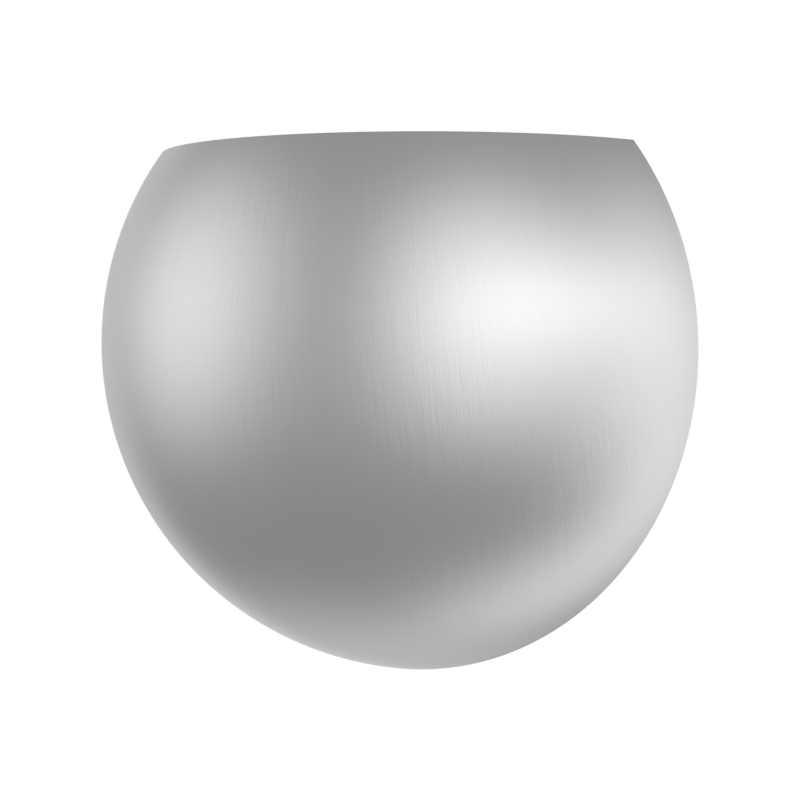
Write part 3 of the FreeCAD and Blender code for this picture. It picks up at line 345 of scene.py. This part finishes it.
def whiteEnamel():
    finish = Finish("whiteEnamel")
    spot = finish.place()
    peel = finish.noise(spot, enamel["peelScale"])
    cloud = finish.noise(spot, enamel["cloudScale"], 3)
    specks = finish.step(finish.cells(spot, enamel["speckScale"]), *enamel["speckEdge"])
    earth = middle("earth_washer")
    away = finish.far(finish.vector("MULTIPLY", spot, (1, 0, 1)), (earth.x, 0, earth.z))
    edge = (finish.noise(spot, enamel["bareWanderScale"], 3) - 0.5) * enamel["bareWander"]
    outside = enamel["bareRadius"] + enamel["bareFade"]
    inside = enamel["bareRadius"] - enamel["bareFade"]
    bare = finish.step(away + edge, outside, inside)
    white = enamel["white"]
    paint = finish.shades(cloud, white, *enamel["cloudTones"])
    paint = finish.blend(specks * enamel["speckShare"], paint, dim(white, enamel["speckTone"]))
    steel = finish.blend(finish.noise(spot, enamel["bareScale"], 3), enamel["bareDark"], enamel["bareLight"])
    peelRough = (peel - 0.5) * enamel["peelRough"]
    return finish.surface({
        "Base Color": finish.blend(bare, paint, steel),
        "Metallic": bare,
        "Roughness": enamel["rough"] + peelRough + bare * enamel["bareRough"],
        "Specular IOR Level": 0.45,
        "Normal": finish.bump(peel * (1 - bare), enamel["peelDepth"]),
    })


zinc = {
    "grey": (0.594, 0.603, 0.612),
    "cool": (0.6864, 0.7035, 0.7412),
    "rough": 0.34,
    "spangle": (0.5544, 0.5628, 0.5712),
    "spangleScale": 380,
    "spangleShare": 0.25,
    "spangleRough": 0.10,
    "rolledScales": (2600, 2600, 260),
    "rolledRough": 0.12,
    "rolledDepth": 0.5,  # as a share of the clouds' depth
    "cloudScale": 60,
    "depth": 0.02 * mm,
}


def zincPlate():
    finish = Finish("zincPlate")
    spot = finish.place()
    crystals = finish.cells(spot, zinc["spangleScale"], output="Color")
    spangle = finish.dot(crystals, (0.4, 0.35, 0.25))  # one value out of three, for each crystal
    rolled = finish.streaks(spot, zinc["rolledScales"], 3)
    cloud = finish.noise(spot, zinc["cloudScale"], 4)
    tint = finish.blend(cloud, zinc["grey"], zinc["cool"])
    spangleRough = (spangle - 0.5) * zinc["spangleRough"]
    return finish.surface({
        "Base Color": finish.blend(spangle * zinc["spangleShare"], tint, zinc["spangle"]),
        "Metallic": 1.0,
        "Roughness": zinc["rough"] + spangleRough + (rolled - 0.5) * zinc["rolledRough"],
        "Normal": finish.bump(rolled * zinc["rolledDepth"] + cloud, zinc["depth"]),
    })


thumbscrew = {
    "nickel": (0.68, 0.66, 0.62),
    "tones": (0.92, 1.05),
    "rough": 0.27,
    "ringStep": 0.28 * mm,
    "ringRough": 0.02,
    "ringDepth": 0.5,  # as a share of the wander's depth
    "wanderScale": 400,
    "wanderRough": 0.12,
    "depth": 0.006 * mm,
}


def turnedNickel():
    # both thumbscrews: rings from the lathe round each one's own axis
    finish = Finish("turnedNickel")
    spot = finish.place()
    axis = middle("thumbscrew_right")
    mirrored = finish.join(abs(finish.dot(spot, (1, 0, 0))), 0, finish.dot(spot, (0, 0, 1)))
    away = finish.far(mirrored, (axis.x, 0, axis.z))
    rings = (away * (2 * math.pi / thumbscrew["ringStep"])).sine()
    wander = finish.noise(spot, thumbscrew["wanderScale"], 3)
    wanderRough = (wander - 0.5) * thumbscrew["wanderRough"]
    return finish.surface({
        "Base Color": finish.shades(wander, thumbscrew["nickel"], *thumbscrew["tones"]),
        "Metallic": 1.0,
        "Roughness": thumbscrew["rough"] + wanderRough + rings * thumbscrew["ringRough"],
        "Normal": finish.bump(rings * thumbscrew["ringDepth"] + wander, thumbscrew["depth"]),
    })


lampCap = {
    "sheet": 0.4 * mm,
    "footReach": 11.2 * mm,
    "nickel": (0.68, 0.66, 0.62),
    "tones": (0.95, 1.07),
    "rough": 0.22,
    "drawnScales": (500, 500, 90),
    "drawnRough": 0.08,
    "stain": (0.56, 0.52, 0.46),
    "stainScale": 110,
    "stainEdge": (0.5, 0.75),
    "stainShare": 0.35,
    "stainRough": 0.12,
    "depth": 0.02 * mm,
}


def capNickel():
    finish = Finish("capNickel")
    spot = finish.place()
    drawn = finish.streaks(spot, lampCap["drawnScales"], 3)
    stain = finish.step(finish.noise(spot, lampCap["stainScale"], 4), *lampCap["stainEdge"])
    bright = finish.shades(drawn, lampCap["nickel"], *lampCap["tones"])
    return finish.surface({
        "Base Color": finish.blend(stain * lampCap["stainShare"], bright, lampCap["stain"]),
        "Metallic": 1.0,
        "Roughness": lampCap["rough"] + drawn * lampCap["drawnRough"] + stain * lampCap["stainRough"],
        "Normal": finish.bump(drawn, lampCap["depth"]),
    })


metals = {
    # clean, tarnished, roughness
    "brass": ((0.80, 0.62, 0.32), (0.62, 0.44, 0.20), 0.24),
    "copper": ((0.80, 0.45, 0.30), (0.58, 0.30, 0.19), 0.27),
    "aluminium": ((0.80, 0.80, 0.81), (0.68, 0.68, 0.69), 0.36),
    "solder": ((0.70, 0.70, 0.70), (0.52, 0.52, 0.54), 0.30),
}

wear = {
    "tarnishScale": 160,
    "tarnishEdge": (0.42, 0.72),
    "tarnishShare": 0.7,
    "tarnishRough": 0.14,
    "scuffScales": (900, 2400, 900),
    "scuffTones": (0.95, 1.04),
    "scuffRough": 0.14,
    "depth": 0.02 * mm,
}


def plainMetal(kind):
    finish = Finish(kind + "Metal")
    spot = finish.place()
    clean, dull, rough = metals[kind]
    tarnish = finish.step(finish.noise(spot, wear["tarnishScale"], 5, 0.6), *wear["tarnishEdge"])
    scuff = finish.streaks(spot, wear["scuffScales"], 4)
    bright = finish.shades(scuff, clean, *wear["scuffTones"])
    return finish.surface({
        "Base Color": finish.blend(tarnish * wear["tarnishShare"], bright, dull),
        "Metallic": 1.0,
        "Roughness": rough + tarnish * wear["tarnishRough"] + (scuff - 0.5) * wear["scuffRough"],
        "Normal": finish.bump(scuff, wear["depth"]),
    })


porcelain = {
    "dark": (0.86, 0.845, 0.80),
    "light": (0.92, 0.915, 0.895),
    "rough": 0.20,
    "poolScale": 90,
    "poolRough": 0.06,
    "pit": (0.52, 0.47, 0.40),
    "pitScale": 330,
    "pitEdge": (0.09, 0.03),
    "pitShare": 0.5,
    "pitRough": 0.4,
    "glaze": 0.5,
    "glazeRough": 0.06,
    "depth": 0.12 * mm,
}


def glazedPorcelain():
    finish = Finish("glazedPorcelain")
    spot = finish.place()
    pool = finish.noise(spot, porcelain["poolScale"], 3)
    pits = finish.step(finish.cells(spot, porcelain["pitScale"]), *porcelain["pitEdge"])
    tint = finish.blend(pool, porcelain["dark"], porcelain["light"])
    poolRough = (pool - 0.5) * porcelain["poolRough"]
    return finish.surface({
        "Base Color": finish.blend(pits * porcelain["pitShare"], tint, porcelain["pit"]),
        "Roughness": porcelain["rough"] + pits * porcelain["pitRough"] + poolRough,
        "IOR": 1.52,
        "Coat Weight": porcelain["glaze"],
        "Coat Roughness": porcelain["glazeRough"],
        "Subsurface Weight": 0.05,
        "Subsurface Radius": (1.5 * mm, 1.2 * mm, 1.0 * mm),
        "Subsurface Scale": 1.0,
        "Normal": finish.bump(pool - pits, porcelain["depth"]),
    })


insulator = {
    "dark": (0.018, 0.018, 0.020),
    "light": (0.042, 0.040, 0.044),
    "rough": 0.10,
    "flowScale": 260,
    "flowRough": 0.10,
    "depth": 0.05 * mm,
}


def blackGlass():
    finish = Finish("blackGlass")
    flow = finish.noise(finish.place(), insulator["flowScale"], 3)
    return finish.surface({
        "Base Color": finish.blend(flow, insulator["dark"], insulator["light"]),
        "Roughness": insulator["rough"] + flow * insulator["flowRough"],
        "IOR": 1.5,
        "Normal": finish.bump(flow, insulator["depth"]),
    })


plastics = {
    # colour, darker colour, roughness, grain scale, grain depth, subsurface share
    "white": ((0.88, 0.88, 0.86), (0.83, 0.83, 0.80), 0.38, 2600, 0.012 * mm, 0.06),
    "opal": ((0.93, 0.93, 0.91), (0.90, 0.90, 0.875), 0.46, 3400, 0.010 * mm, 0.30),
    "nylon": ((0.86, 0.85, 0.80), (0.80, 0.785, 0.72), 0.42, 1900, 0.016 * mm, 0.22),
    "rubber": ((0.040, 0.040, 0.040), (0.026, 0.026, 0.027), 0.62, 1700, 0.03 * mm, 0.0),
}

moulding = {
    "flowScale": 70,
    "flowRough": 0.06,
    "grainShare": 0.3,
    "grainRough": 0.14,
    "glow": (2.4 * mm, 2.2 * mm, 1.9 * mm),
}


def mouldedPlastic(kind):
    finish = Finish(kind + "Plastic")
    spot = finish.place()
    light, dark, rough, grainScale, grainDepth, subsurface = plastics[kind]
    grain = finish.noise(spot, grainScale)
    flow = finish.noise(spot, moulding["flowScale"], 3)
    grainRough = (grain - 0.5) * moulding["grainRough"]
    tone = flow * (1 - moulding["grainShare"]) + grain * moulding["grainShare"]
    return finish.surface({
        "Base Color": finish.blend(tone, dark, light),
        "Roughness": rough + grainRough + (flow - 0.5) * moulding["flowRough"],
        "Subsurface Weight": subsurface,
        "Subsurface Radius": moulding["glow"],
        "Subsurface Scale": 1.0,
        "Normal": finish.bump(grain, grainDepth),
    })


silicone = {
    "dark": (0.72, 0.72, 0.70),
    "light": (0.80, 0.80, 0.79),
    "rough": 0.34,
    "bloomScale": 500,
    "bloomRough": 0.16,
    "clear": 0.55,
    "depth": 0.03 * mm,
}


def clearSilicone():
    finish = Finish("clearSilicone")
    bloom = finish.noise(finish.place(), silicone["bloomScale"], 3)
    return finish.surface({
        "Base Color": finish.blend(bloom, silicone["dark"], silicone["light"]),
        "Roughness": silicone["rough"] + bloom * silicone["bloomRough"],
        "IOR": 1.41,
        "Transmission Weight": silicone["clear"],
        "Normal": finish.bump(bloom, silicone["depth"]),
    })


leadColours = {
    # colour, darker colour
    "black": ((0.055, 0.055, 0.057), (0.032, 0.032, 0.034)),
    "white": ((0.89, 0.89, 0.88), (0.80, 0.80, 0.79)),
    "green": ((0.12, 0.46, 0.18), (0.07, 0.32, 0.11)),
}

jacket = {
    "rough": 0.33,
    "drawnScale": 650,
    "drawnTone": 0.6,
    "drawnRough": 0.10,
    "dustScale": 180,
    "dustEdge": (0.5, 0.8),
    "dustTone": 0.2,
    "dustRough": 0.10,
    "depth": 0.03 * mm,
}


def vinylJacket(kind):
    finish = Finish(kind + "Vinyl")
    spot = finish.place()
    light, dark = leadColours[kind]
    drawn = finish.noise(spot, jacket["drawnScale"], 3)
    dust = finish.step(finish.noise(spot, jacket["dustScale"], 4), *jacket["dustEdge"])
    return finish.surface({
        "Base Color": finish.blend(drawn * jacket["drawnTone"] + dust * jacket["dustTone"], dark, light),
        "Roughness": jacket["rough"] + drawn * jacket["drawnRough"] + dust * jacket["dustRough"],
        "Normal": finish.bump(drawn, jacket["depth"]),
    })


felt = {
    "voxel": 0.9 * mm,
    "smoothing": 0.5,
    "smoothSteps": 2,
    "lump": 0.22 * mm,
    "lumpScale": 260,
    "fuzz": 0.12 * mm,
    "fuzzScale": 1500,
    "dark": (0.70, 0.675, 0.60),
    "light": (0.85, 0.83, 0.77),
    # painted shade: a dimmed copy of the felt's colour where the fibres dip, in the gaps between them, and
    # the mask's edges for it
    "gapShade": (0.6364, 0.6149, 0.559),
    "gapShadeEdge": (0.35, 0.65),
    "swirlScale": 420,
    "swirl": 2 * mm,
    "strandScales": (2600, 600, 500),
    "crossScales": (500, 600, 2600),
    "tuftScale": 130,
    "tuftDepth": 0.4,  # as a share of the fibres'
    "rough": 0.93,
    "fibreRough": 0.08,
    "sheen": 0.25,
    "sheenRough": 0.6,
    "depth": 0.5 * mm,
}


def needledFelt():
    finish = Finish("needledFelt")
    spot = finish.place()
    swirl = finish.noise(spot, felt["swirlScale"], output="Color")
    warped = finish.vector("ADD", spot, finish.vector("MULTIPLY", swirl, (felt["swirl"],) * 3))
    strands = finish.streaks(warped, felt["strandScales"], 4, 0.7)
    cross = finish.streaks(spot, felt["crossScales"], 4, 0.7)
    tufts = finish.noise(spot, felt["tuftScale"], 3)
    fibre = strands * 0.5 + cross * 0.5
    tint = finish.blend(tufts, felt["dark"], felt["light"])
    return finish.surface({
        # the fibres' low places take the painted shade in the gaps
        "Base Color": finish.blend(finish.step(fibre, *felt["gapShadeEdge"]), felt["gapShade"], tint),
        "Roughness": felt["rough"] - fibre * felt["fibreRough"],
        "Sheen Weight": felt["sheen"],
        "Sheen Roughness": felt["sheenRough"],
        "Normal": finish.bump(fibre + tufts * felt["tuftDepth"], felt["depth"]),
    })


chips = {
    "dark": (0.82, 0.62, 0.14),
    "light": (0.95, 0.83, 0.34),
    "rough": 0.28,
    "grainScale": 1600,
    "grainRough": 0.2,
    "depth": 0.02 * mm,
}


def phosphorGel():
    finish = Finish("phosphorGel")
    grains = finish.noise(finish.place(), chips["grainScale"], 4)
    return finish.surface({
        "Base Color": finish.blend(grains, chips["dark"], chips["light"]),
        "Roughness": chips["rough"] + grains * chips["grainRough"],
        "Normal": finish.bump(grains, chips["depth"]),
    })


driver = {
    "bare": (0.07, 0.22, 0.11),
    "maskDark": (0.10, 0.30, 0.16),
    "maskLight": (0.14, 0.37, 0.20),
    "rough": 0.30,
    "trackScale": 900,
    "trackEdge": (0.06, 0.12),
    "mottleScale": 700,
    "mottleRough": 0.12,
    "depth": 0.035 * mm,
}


def boardMask():
    finish = Finish("boardMask")
    spot = finish.place()
    tracks = finish.step(finish.cells(spot, driver["trackScale"], "DISTANCE_TO_EDGE"), *driver["trackEdge"])
    mottle = finish.noise(spot, driver["mottleScale"], 3)
    mask = finish.blend(mottle, driver["maskDark"], driver["maskLight"])
    return finish.surface({
        "Base Color": finish.blend(tracks, driver["bare"], mask),
        "Roughness": driver["rough"] + mottle * driver["mottleRough"],
        "Normal": finish.bump(tracks, driver["depth"]),
    })


# pieces made here

def addMesh(name, data, body, material):
    for face in data.polygons:
        face.use_smooth = True
    data.materials.clear()
    data.materials.append(material)
    piece = addObject(name, data)
    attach(piece, body)
    return piece


def meshOf(name, points, faces):
    data = bpy.data.meshes.new(name)
    data.from_pydata(points, [], faces)
    data.update()
    return data


def bowlEdge(radius, centre, rim):
    # the ball's edge before the wall, in four runs: along the rim, then down, under and up the wall circle
    mouth = math.sqrt(radius ** 2 - centre.y ** 2)
    brim = math.sqrt(radius ** 2 - rim ** 2)
    top = math.asin(rim / mouth)
    low = math.radians(bowl["lowCorner"]) - math.pi / 2
    swing = math.asin(mouth * math.cos(top) / brim)

    def onRim(share):
        turn = swing * (2 * share - 1)
        return Vector((brim * math.sin(turn), centre.y - brim * math.cos(turn), rim))

    def onWall(first, last, steps):
        turns = [first + (last - first) * i / steps for i in range(steps + 1)]
        return [Vector((mouth * math.cos(turn), 0, mouth * math.sin(turn))) for turn in turns]

    across, down = bowl["across"], bowl["down"]
    return [
        [onRim(i / across) for i in range(across + 1)],
        onWall(top, low, down),
        onWall(low, -math.pi - low, across),
        onWall(-math.pi - low, -math.pi - top, down),
    ]


def bowlSkin(radius, centre, rim):
    # rings of even faces in from the edge, round a grid in the middle: no pole and no thin face anywhere
    across, down, rings = bowl["across"], bowl["down"], bowl["rings"]

    def onBall(point):
        return centre + (point - centre).normalized() * radius

    sides = bowlEdge(radius, centre, rim)
    front = onBall(sum((side[0] for side in sides), Vector()) / 4)
    loop, core = [], []
    for side in sides:
        for i, point in enumerate(side[:-1]):
            chord = side[0].lerp(side[-1], i / (len(side) - 1))
            loop.append(point)
            core.append(front.lerp(chord.lerp(point, bowl["bulgeShare"]), bowl["coreShare"]))
    points = list(loop)
    for k in range(1, rings + 1):
        points += [onBall(first.lerp(last, k / rings)) for first, last in zip(loop, core)]

    # the grid's sides are the last ring
    count = len(loop)
    start = rings * count
    grid = {}
    for i in range(across + 1):
        grid[i, 0] = start + i
        grid[across - i, down] = start + across + down + i
    for j in range(down + 1):
        grid[across, j] = start + across + j
        grid[0, down - j] = start + (2 * across + down + j) % count

    def corePoint(i, j):
        return core[grid[i, j] - start]

    def between(i, j):
        # what the four sides give together, less what the corners give twice
        u, v = i / across, j / down
        ruled = corePoint(i, 0).lerp(corePoint(i, down), v) + corePoint(0, j).lerp(corePoint(across, j), u)
        near = corePoint(0, 0).lerp(corePoint(across, 0), u)
        far = corePoint(0, down).lerp(corePoint(across, down), u)
        return ruled - near.lerp(far, v)

    for j in range(1, down):
        for i in range(1, across):
            grid[i, j] = len(points)
            points.append(onBall(between(i, j)))

    faces = []
    for k in range(rings):
        for i in range(count):
            a, b = k * count + i, k * count + (i + 1) % count
            faces.append((a, b, b + count, a + count))
    for j in range(down):
        for i in range(across):
            faces.append((grid[i, j], grid[i + 1, j], grid[i + 1, j + 1], grid[i, j + 1]))
    return points, faces, count


def bowlShell(material):
    # the spun shell: one skin outside and one inside, joined by a flat edge with rounded corners
    centre, radius = bowlCentre()
    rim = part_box("shade")[1].z
    points, faces, count = bowlSkin(radius, centre, rim)
    inner, innerFaces, count = bowlSkin(radius - bowl["sheet"], centre, rim)
    start = len(points)
    faces = [face[::-1] for face in faces] + [tuple(start + i for i in face) for face in innerFaces]
    for a in range(count):
        b = (a + 1) % count
        faces.append((a, b, start + b, start + a))
    data = meshOf("bowlShell", points + inner, faces)
    piece = addMesh("bowlShell", data, "bowl", material)
    bevel = piece.modifiers.new("edges", "BEVEL")
    bevel.width = bowl["edgeRound"]
    bevel.segments = bowl["roundSteps"]
    bevel.limit_method = "ANGLE"
    bevel.angle_limit = math.radians(bowl["roundFrom"])
    bevel.harden_normals = True
    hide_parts("shade")


thread = {
    "pitch": 3.629 * mm,
    "height": 0.75 * mm,
    "fullness": 0.8,  # under 1 the crests are wider than the roots
    "around": 96,
    "stepsPerTurn": 14,
    "runOut": 2.2 * mm,
}

holderShell = {"sheet": 0.45 * mm, "footReach": 12.8 * mm}


def threadedSleeve(name, node, sizes, body, material):
    # a thin rolled sleeve with one screw thread, open at the top, with a flat foot that reaches inwards
    low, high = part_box(node)
    centre = (low + high) / 2
    height = high.z - low.z
    root = high.x - thread["height"]
    rings = round(height / thread["pitch"] * thread["stepsPerTurn"])
    levels = [low.z + height * k / rings for k in range(rings + 1)]
    sheet, footReach = sizes["sheet"], sizes["footReach"]

    def wall(angle, z):
        turns = (z - low.z) / thread["pitch"] - angle / (2 * math.pi)
        wave = 0.5 - 0.5 * math.cos(2 * math.pi * turns)
        ends = min((z - low.z) / thread["runOut"], (high.z - z) / thread["runOut"], 1)
        return root + thread["height"] * wave ** thread["fullness"] * max(ends, 0)

    points, faces = [], []
    for i in range(thread["around"]):
        angle = 2 * math.pi * i / thread["around"]
        section = [(wall(angle, z), z) for z in levels]
        inside = [(r - sheet, z) for r, z in reversed(section) if z > low.z + sheet]
        section += inside + [(root - sheet, low.z + sheet), (footReach, low.z + sheet), (footReach, low.z)]
        points += [(centre.x + r * math.cos(angle), centre.y + r * math.sin(angle), z) for r, z in section]
    count = len(section)
    for i in range(thread["around"]):
        nextRow = (i + 1) % thread["around"]
        for k in range(count):
            follow = (k + 1) % count
            faces.append((i * count + k, nextRow * count + k, nextRow * count + follow, i * count + follow))
    piece = addMesh(name, meshOf(name, points, faces), body, material)
    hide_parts(node)


def feltPad(material):
    # the pad behind the pan, with the soft, slightly uneven faces of needled felt
    draft = addObject("feltDraft", nodes["insulation_pad"].data.copy())
    remesh = draft.modifiers.new("remesh", "REMESH")
    remesh.mode = "VOXEL"
    remesh.voxel_size = felt["voxel"]
    smooth = draft.modifiers.new("smooth", "SMOOTH")
    smooth.factor = felt["smoothing"]
    smooth.iterations = felt["smoothSteps"]
    view = bpy.context.evaluated_depsgraph_get()
    data = bpy.data.meshes.new_from_object(draft.evaluated_get(view))
    bpy.data.objects.remove(draft)
    data.name = "insulationFelt"
    normals = [vertex.normal.copy() for vertex in data.vertices]
    for vertex, normal in zip(data.vertices, normals):
        # this noise varies round 0, less 1 it only presses in
        lump = noise.noise(vertex.co * felt["lumpScale"]) - 1
        fuzz = noise.noise(vertex.co * felt["fuzzScale"]) - 1
        vertex.co += normal * (0.5 * lump * felt["lump"] + 0.5 * fuzz * felt["fuzz"])
    piece = addMesh("insulationFelt", data, "wall_plate", material)
    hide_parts("insulation_pad")


# finishes on the pieces

def dress(material, *names):
    for name in names:
        for place in nodes[name].material_slots:
            place.material = material


def dressPieces():
    steel = brushedSteel()
    dress(steel, "shade", "ear_left", "ear_right")
    bowlShell(steel)
    dress(whiteEnamel(), "back_pan")
    dress(zincPlate(), "lamp_bracket", "pillar_left", "pillar_right", "nipple", "nipple_nut", "star_washer",
          "screw_ring_left", "screw_ring_right", "block_clamp_screws", "block_fixing_screws",
          "earth_washer", "earth_screw")
    dress(turnedNickel(), "thumbscrew_left", "thumbscrew_right")
    brass = plainMetal("brass")
    dress(brass, "holder_tongue", "tongue_rivet", "block_tubes")
    dress(plainMetal("copper"), "lead_cores", "earth_lug")
    dress(plainMetal("aluminium"), "bracket_rivets", "lamp_board")
    dress(plainMetal("solder"), "lamp_contact")
    dress(glazedPorcelain(), "holder_body")
    dress(blackGlass(), "lamp_insulator")
    dress(mouldedPlastic("white"), "lamp_housing")
    dress(mouldedPlastic("opal"), "lamp_globe")
    dress(mouldedPlastic("nylon"), "block_body", "screw_washer_left", "screw_washer_right")
    dress(mouldedPlastic("rubber"), "cable_bushing")
    dress(clearSilicone(), "rubber_stops")
    dress(phosphorGel(), "lamp_chips")
    dress(boardMask(), "lamp_driver")
    dress(vinylJacket("black"), "live_lead")
    dress(vinylJacket("white"), "neutral_lead")
    dress(vinylJacket("green"), "earth_lead")
    threadedSleeve("lampCapThread", "lamp_cap", lampCap, "lamp", capNickel())
    threadedSleeve("holderShellThread", "holder_shell", holderShell, "wall_plate", brass)
    feltPad(needledFelt())


# studio

studio = {
    "white": (1.0, 1.0, 1.0),
    "backdropShown": (0.951, 0.951, 0.951),  # the backdrop as the steel shows it
    "backdrop": (-0.735, 0.678, 0.021),  # the way from the object to the white backdrop
    "backdropEdge": (0.778, 0.879),
    "roomLow": (0.343, 0.340, 0.331),
    "roomMiddle": (0.458, 0.455, 0.449),
    "roomHigh": (0.396, 0.393, 0.387),
    "lowEdge": (-0.9, -0.1),  # heights of the way a ray goes, straight up being 1
    "highEdge": (0.1, 0.9),
    "sky": (1.0, 1.0, 0.99),  # what paint, plastic and felt get from above
    "skyEdge": (0.6, 0.95),
    "floorDrop": 1.5,
    "floorSize": 30,
    "floorPale": (0.9, 0.9, 0.9),
    "floorGlow": 0.9,  # how much of what the camera sees there is plain white, the rest keeps the shadow
    "floorWhite": 1.06,
    "lampTint": (0.960, 0.969, 1.0),
}

softBoxes = {
    # degrees round from the wall's front, degrees up, distance, width, height, brightness in the middle
    "right": (46.9, 12.7, 1.2, 2.33, 2.93, 1.032),
    "rightStrip": (72.3, 14.2, 1.2, 2.90, 0.83, 0.570),
    "rightSide": (108.5, 0.5, 1.2, 2.62, 2.98, 0.831),
    "rightLow": (127.8, -52.9, 1.0, 1.09, 2.25, 0.829),
    "left": (-54.2, 10.6, 1.2, 2.54, 2.36, 0.873),
    "backLow": (-140.7, -52.1, 0.9, 1.395, 1.935, 0.552),
}


def studioWorld():
    world = bpy.data.worlds.new("studio")
    world.use_nodes = True
    bpy.context.scene.world = world
    shading = Shading(world.node_tree)
    glow = world.node_tree.nodes["Background"]
    sight = shading.node("ShaderNodeTexCoord", output="Generated")
    behind = shading.step(shading.dot(sight, studio["backdrop"]), *studio["backdropEdge"])
    height = shading.dot(sight, (0, 0, 1))
    room = shading.blend(shading.step(height, *studio["lowEdge"]), studio["roomLow"], studio["roomMiddle"])
    room = shading.blend(shading.step(height, *studio["highEdge"]), room, studio["roomHigh"])
    sky = shading.blend(shading.step(height, *studio["skyEdge"]), room, studio["sky"])
    room = shading.blend(shading.ray("Is Diffuse Ray"), room, sky)
    room = shading.blend(behind, room, studio["backdropShown"])
    plug(world.node_tree, glow.inputs["Color"], shading.blend(shading.seen(), room, studio["white"]))


def softBox(name, around, up, distance, width, height, brightness):
    data = bpy.data.lights.new("softBox_" + name, "AREA")
    data.shape = "RECTANGLE"
    data.size = width
    data.size_y = height
    data.color = studio["lampTint"]
    data.energy = brightness * math.pi * width * height
    data.use_nodes = True
    shading = Shading(data.node_tree)
    across = shading.node("ShaderNodeNewGeometry", output="Parametric")
    fade = 1.0
    for axis in ((1, 0, 0), (0, 1, 0)):
        fade = fade * shading.step(1 - abs(shading.dot(across, axis) * 2 - 1), 0, 1)
    plug(data.node_tree, data.node_tree.nodes["Emission"].inputs["Strength"], fade)
    lamp = addObject("softBox_" + name, data)
    turn, lift = math.radians(around), math.radians(up)
    toward = Vector((math.sin(turn) * math.cos(lift), -math.cos(turn) * math.cos(lift), math.sin(lift)))
    lamp.location = bowlCentre()[0] + toward * distance
    lamp.rotation_mode = "QUATERNION"
    lamp.rotation_quaternion = (-toward).to_track_quat("-Z", "Y")
    lamp.visible_camera = False


def paleFloor():
    half = studio["floorSize"] / 2
    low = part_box("shade")[0].z - studio["floorDrop"]
    corners = [(-half, -half, low), (half, -half, low), (half, half, low), (-half, half, low)]
    data = meshOf("floor", corners, [(0, 1, 2, 3)])
    floor = addObject("floor", data)
    material = bpy.data.materials.new("paleFloor")
    material.use_nodes = True
    shading = Shading(material.node_tree)
    material.node_tree.nodes.remove(material.node_tree.nodes["Principled BSDF"])
    pale = shading.node("ShaderNodeBsdfDiffuse", None, {"Color": studio["floorPale"]})
    glow = {"Color": studio["white"], "Strength": studio["floorWhite"]}
    white = shading.node("ShaderNodeEmission", None, glow)
    share = shading.seen() * studio["floorGlow"]
    mixed = shading.node("ShaderNodeMixShader", None, {0: share, 1: pale, 2: white})
    output = material.node_tree.nodes["Material Output"]
    plug(material.node_tree, output.inputs["Surface"], mixed)
    data.materials.append(material)
    floor.visible_glossy = False


makeCamera()
print("camera placed")
dressPieces()
studioWorld()
for boxName, values in softBoxes.items():
    softBox(boxName, *values)
paleFloor()
bpy.context.scene.view_settings.view_transform = "Standard"
print("studio set")
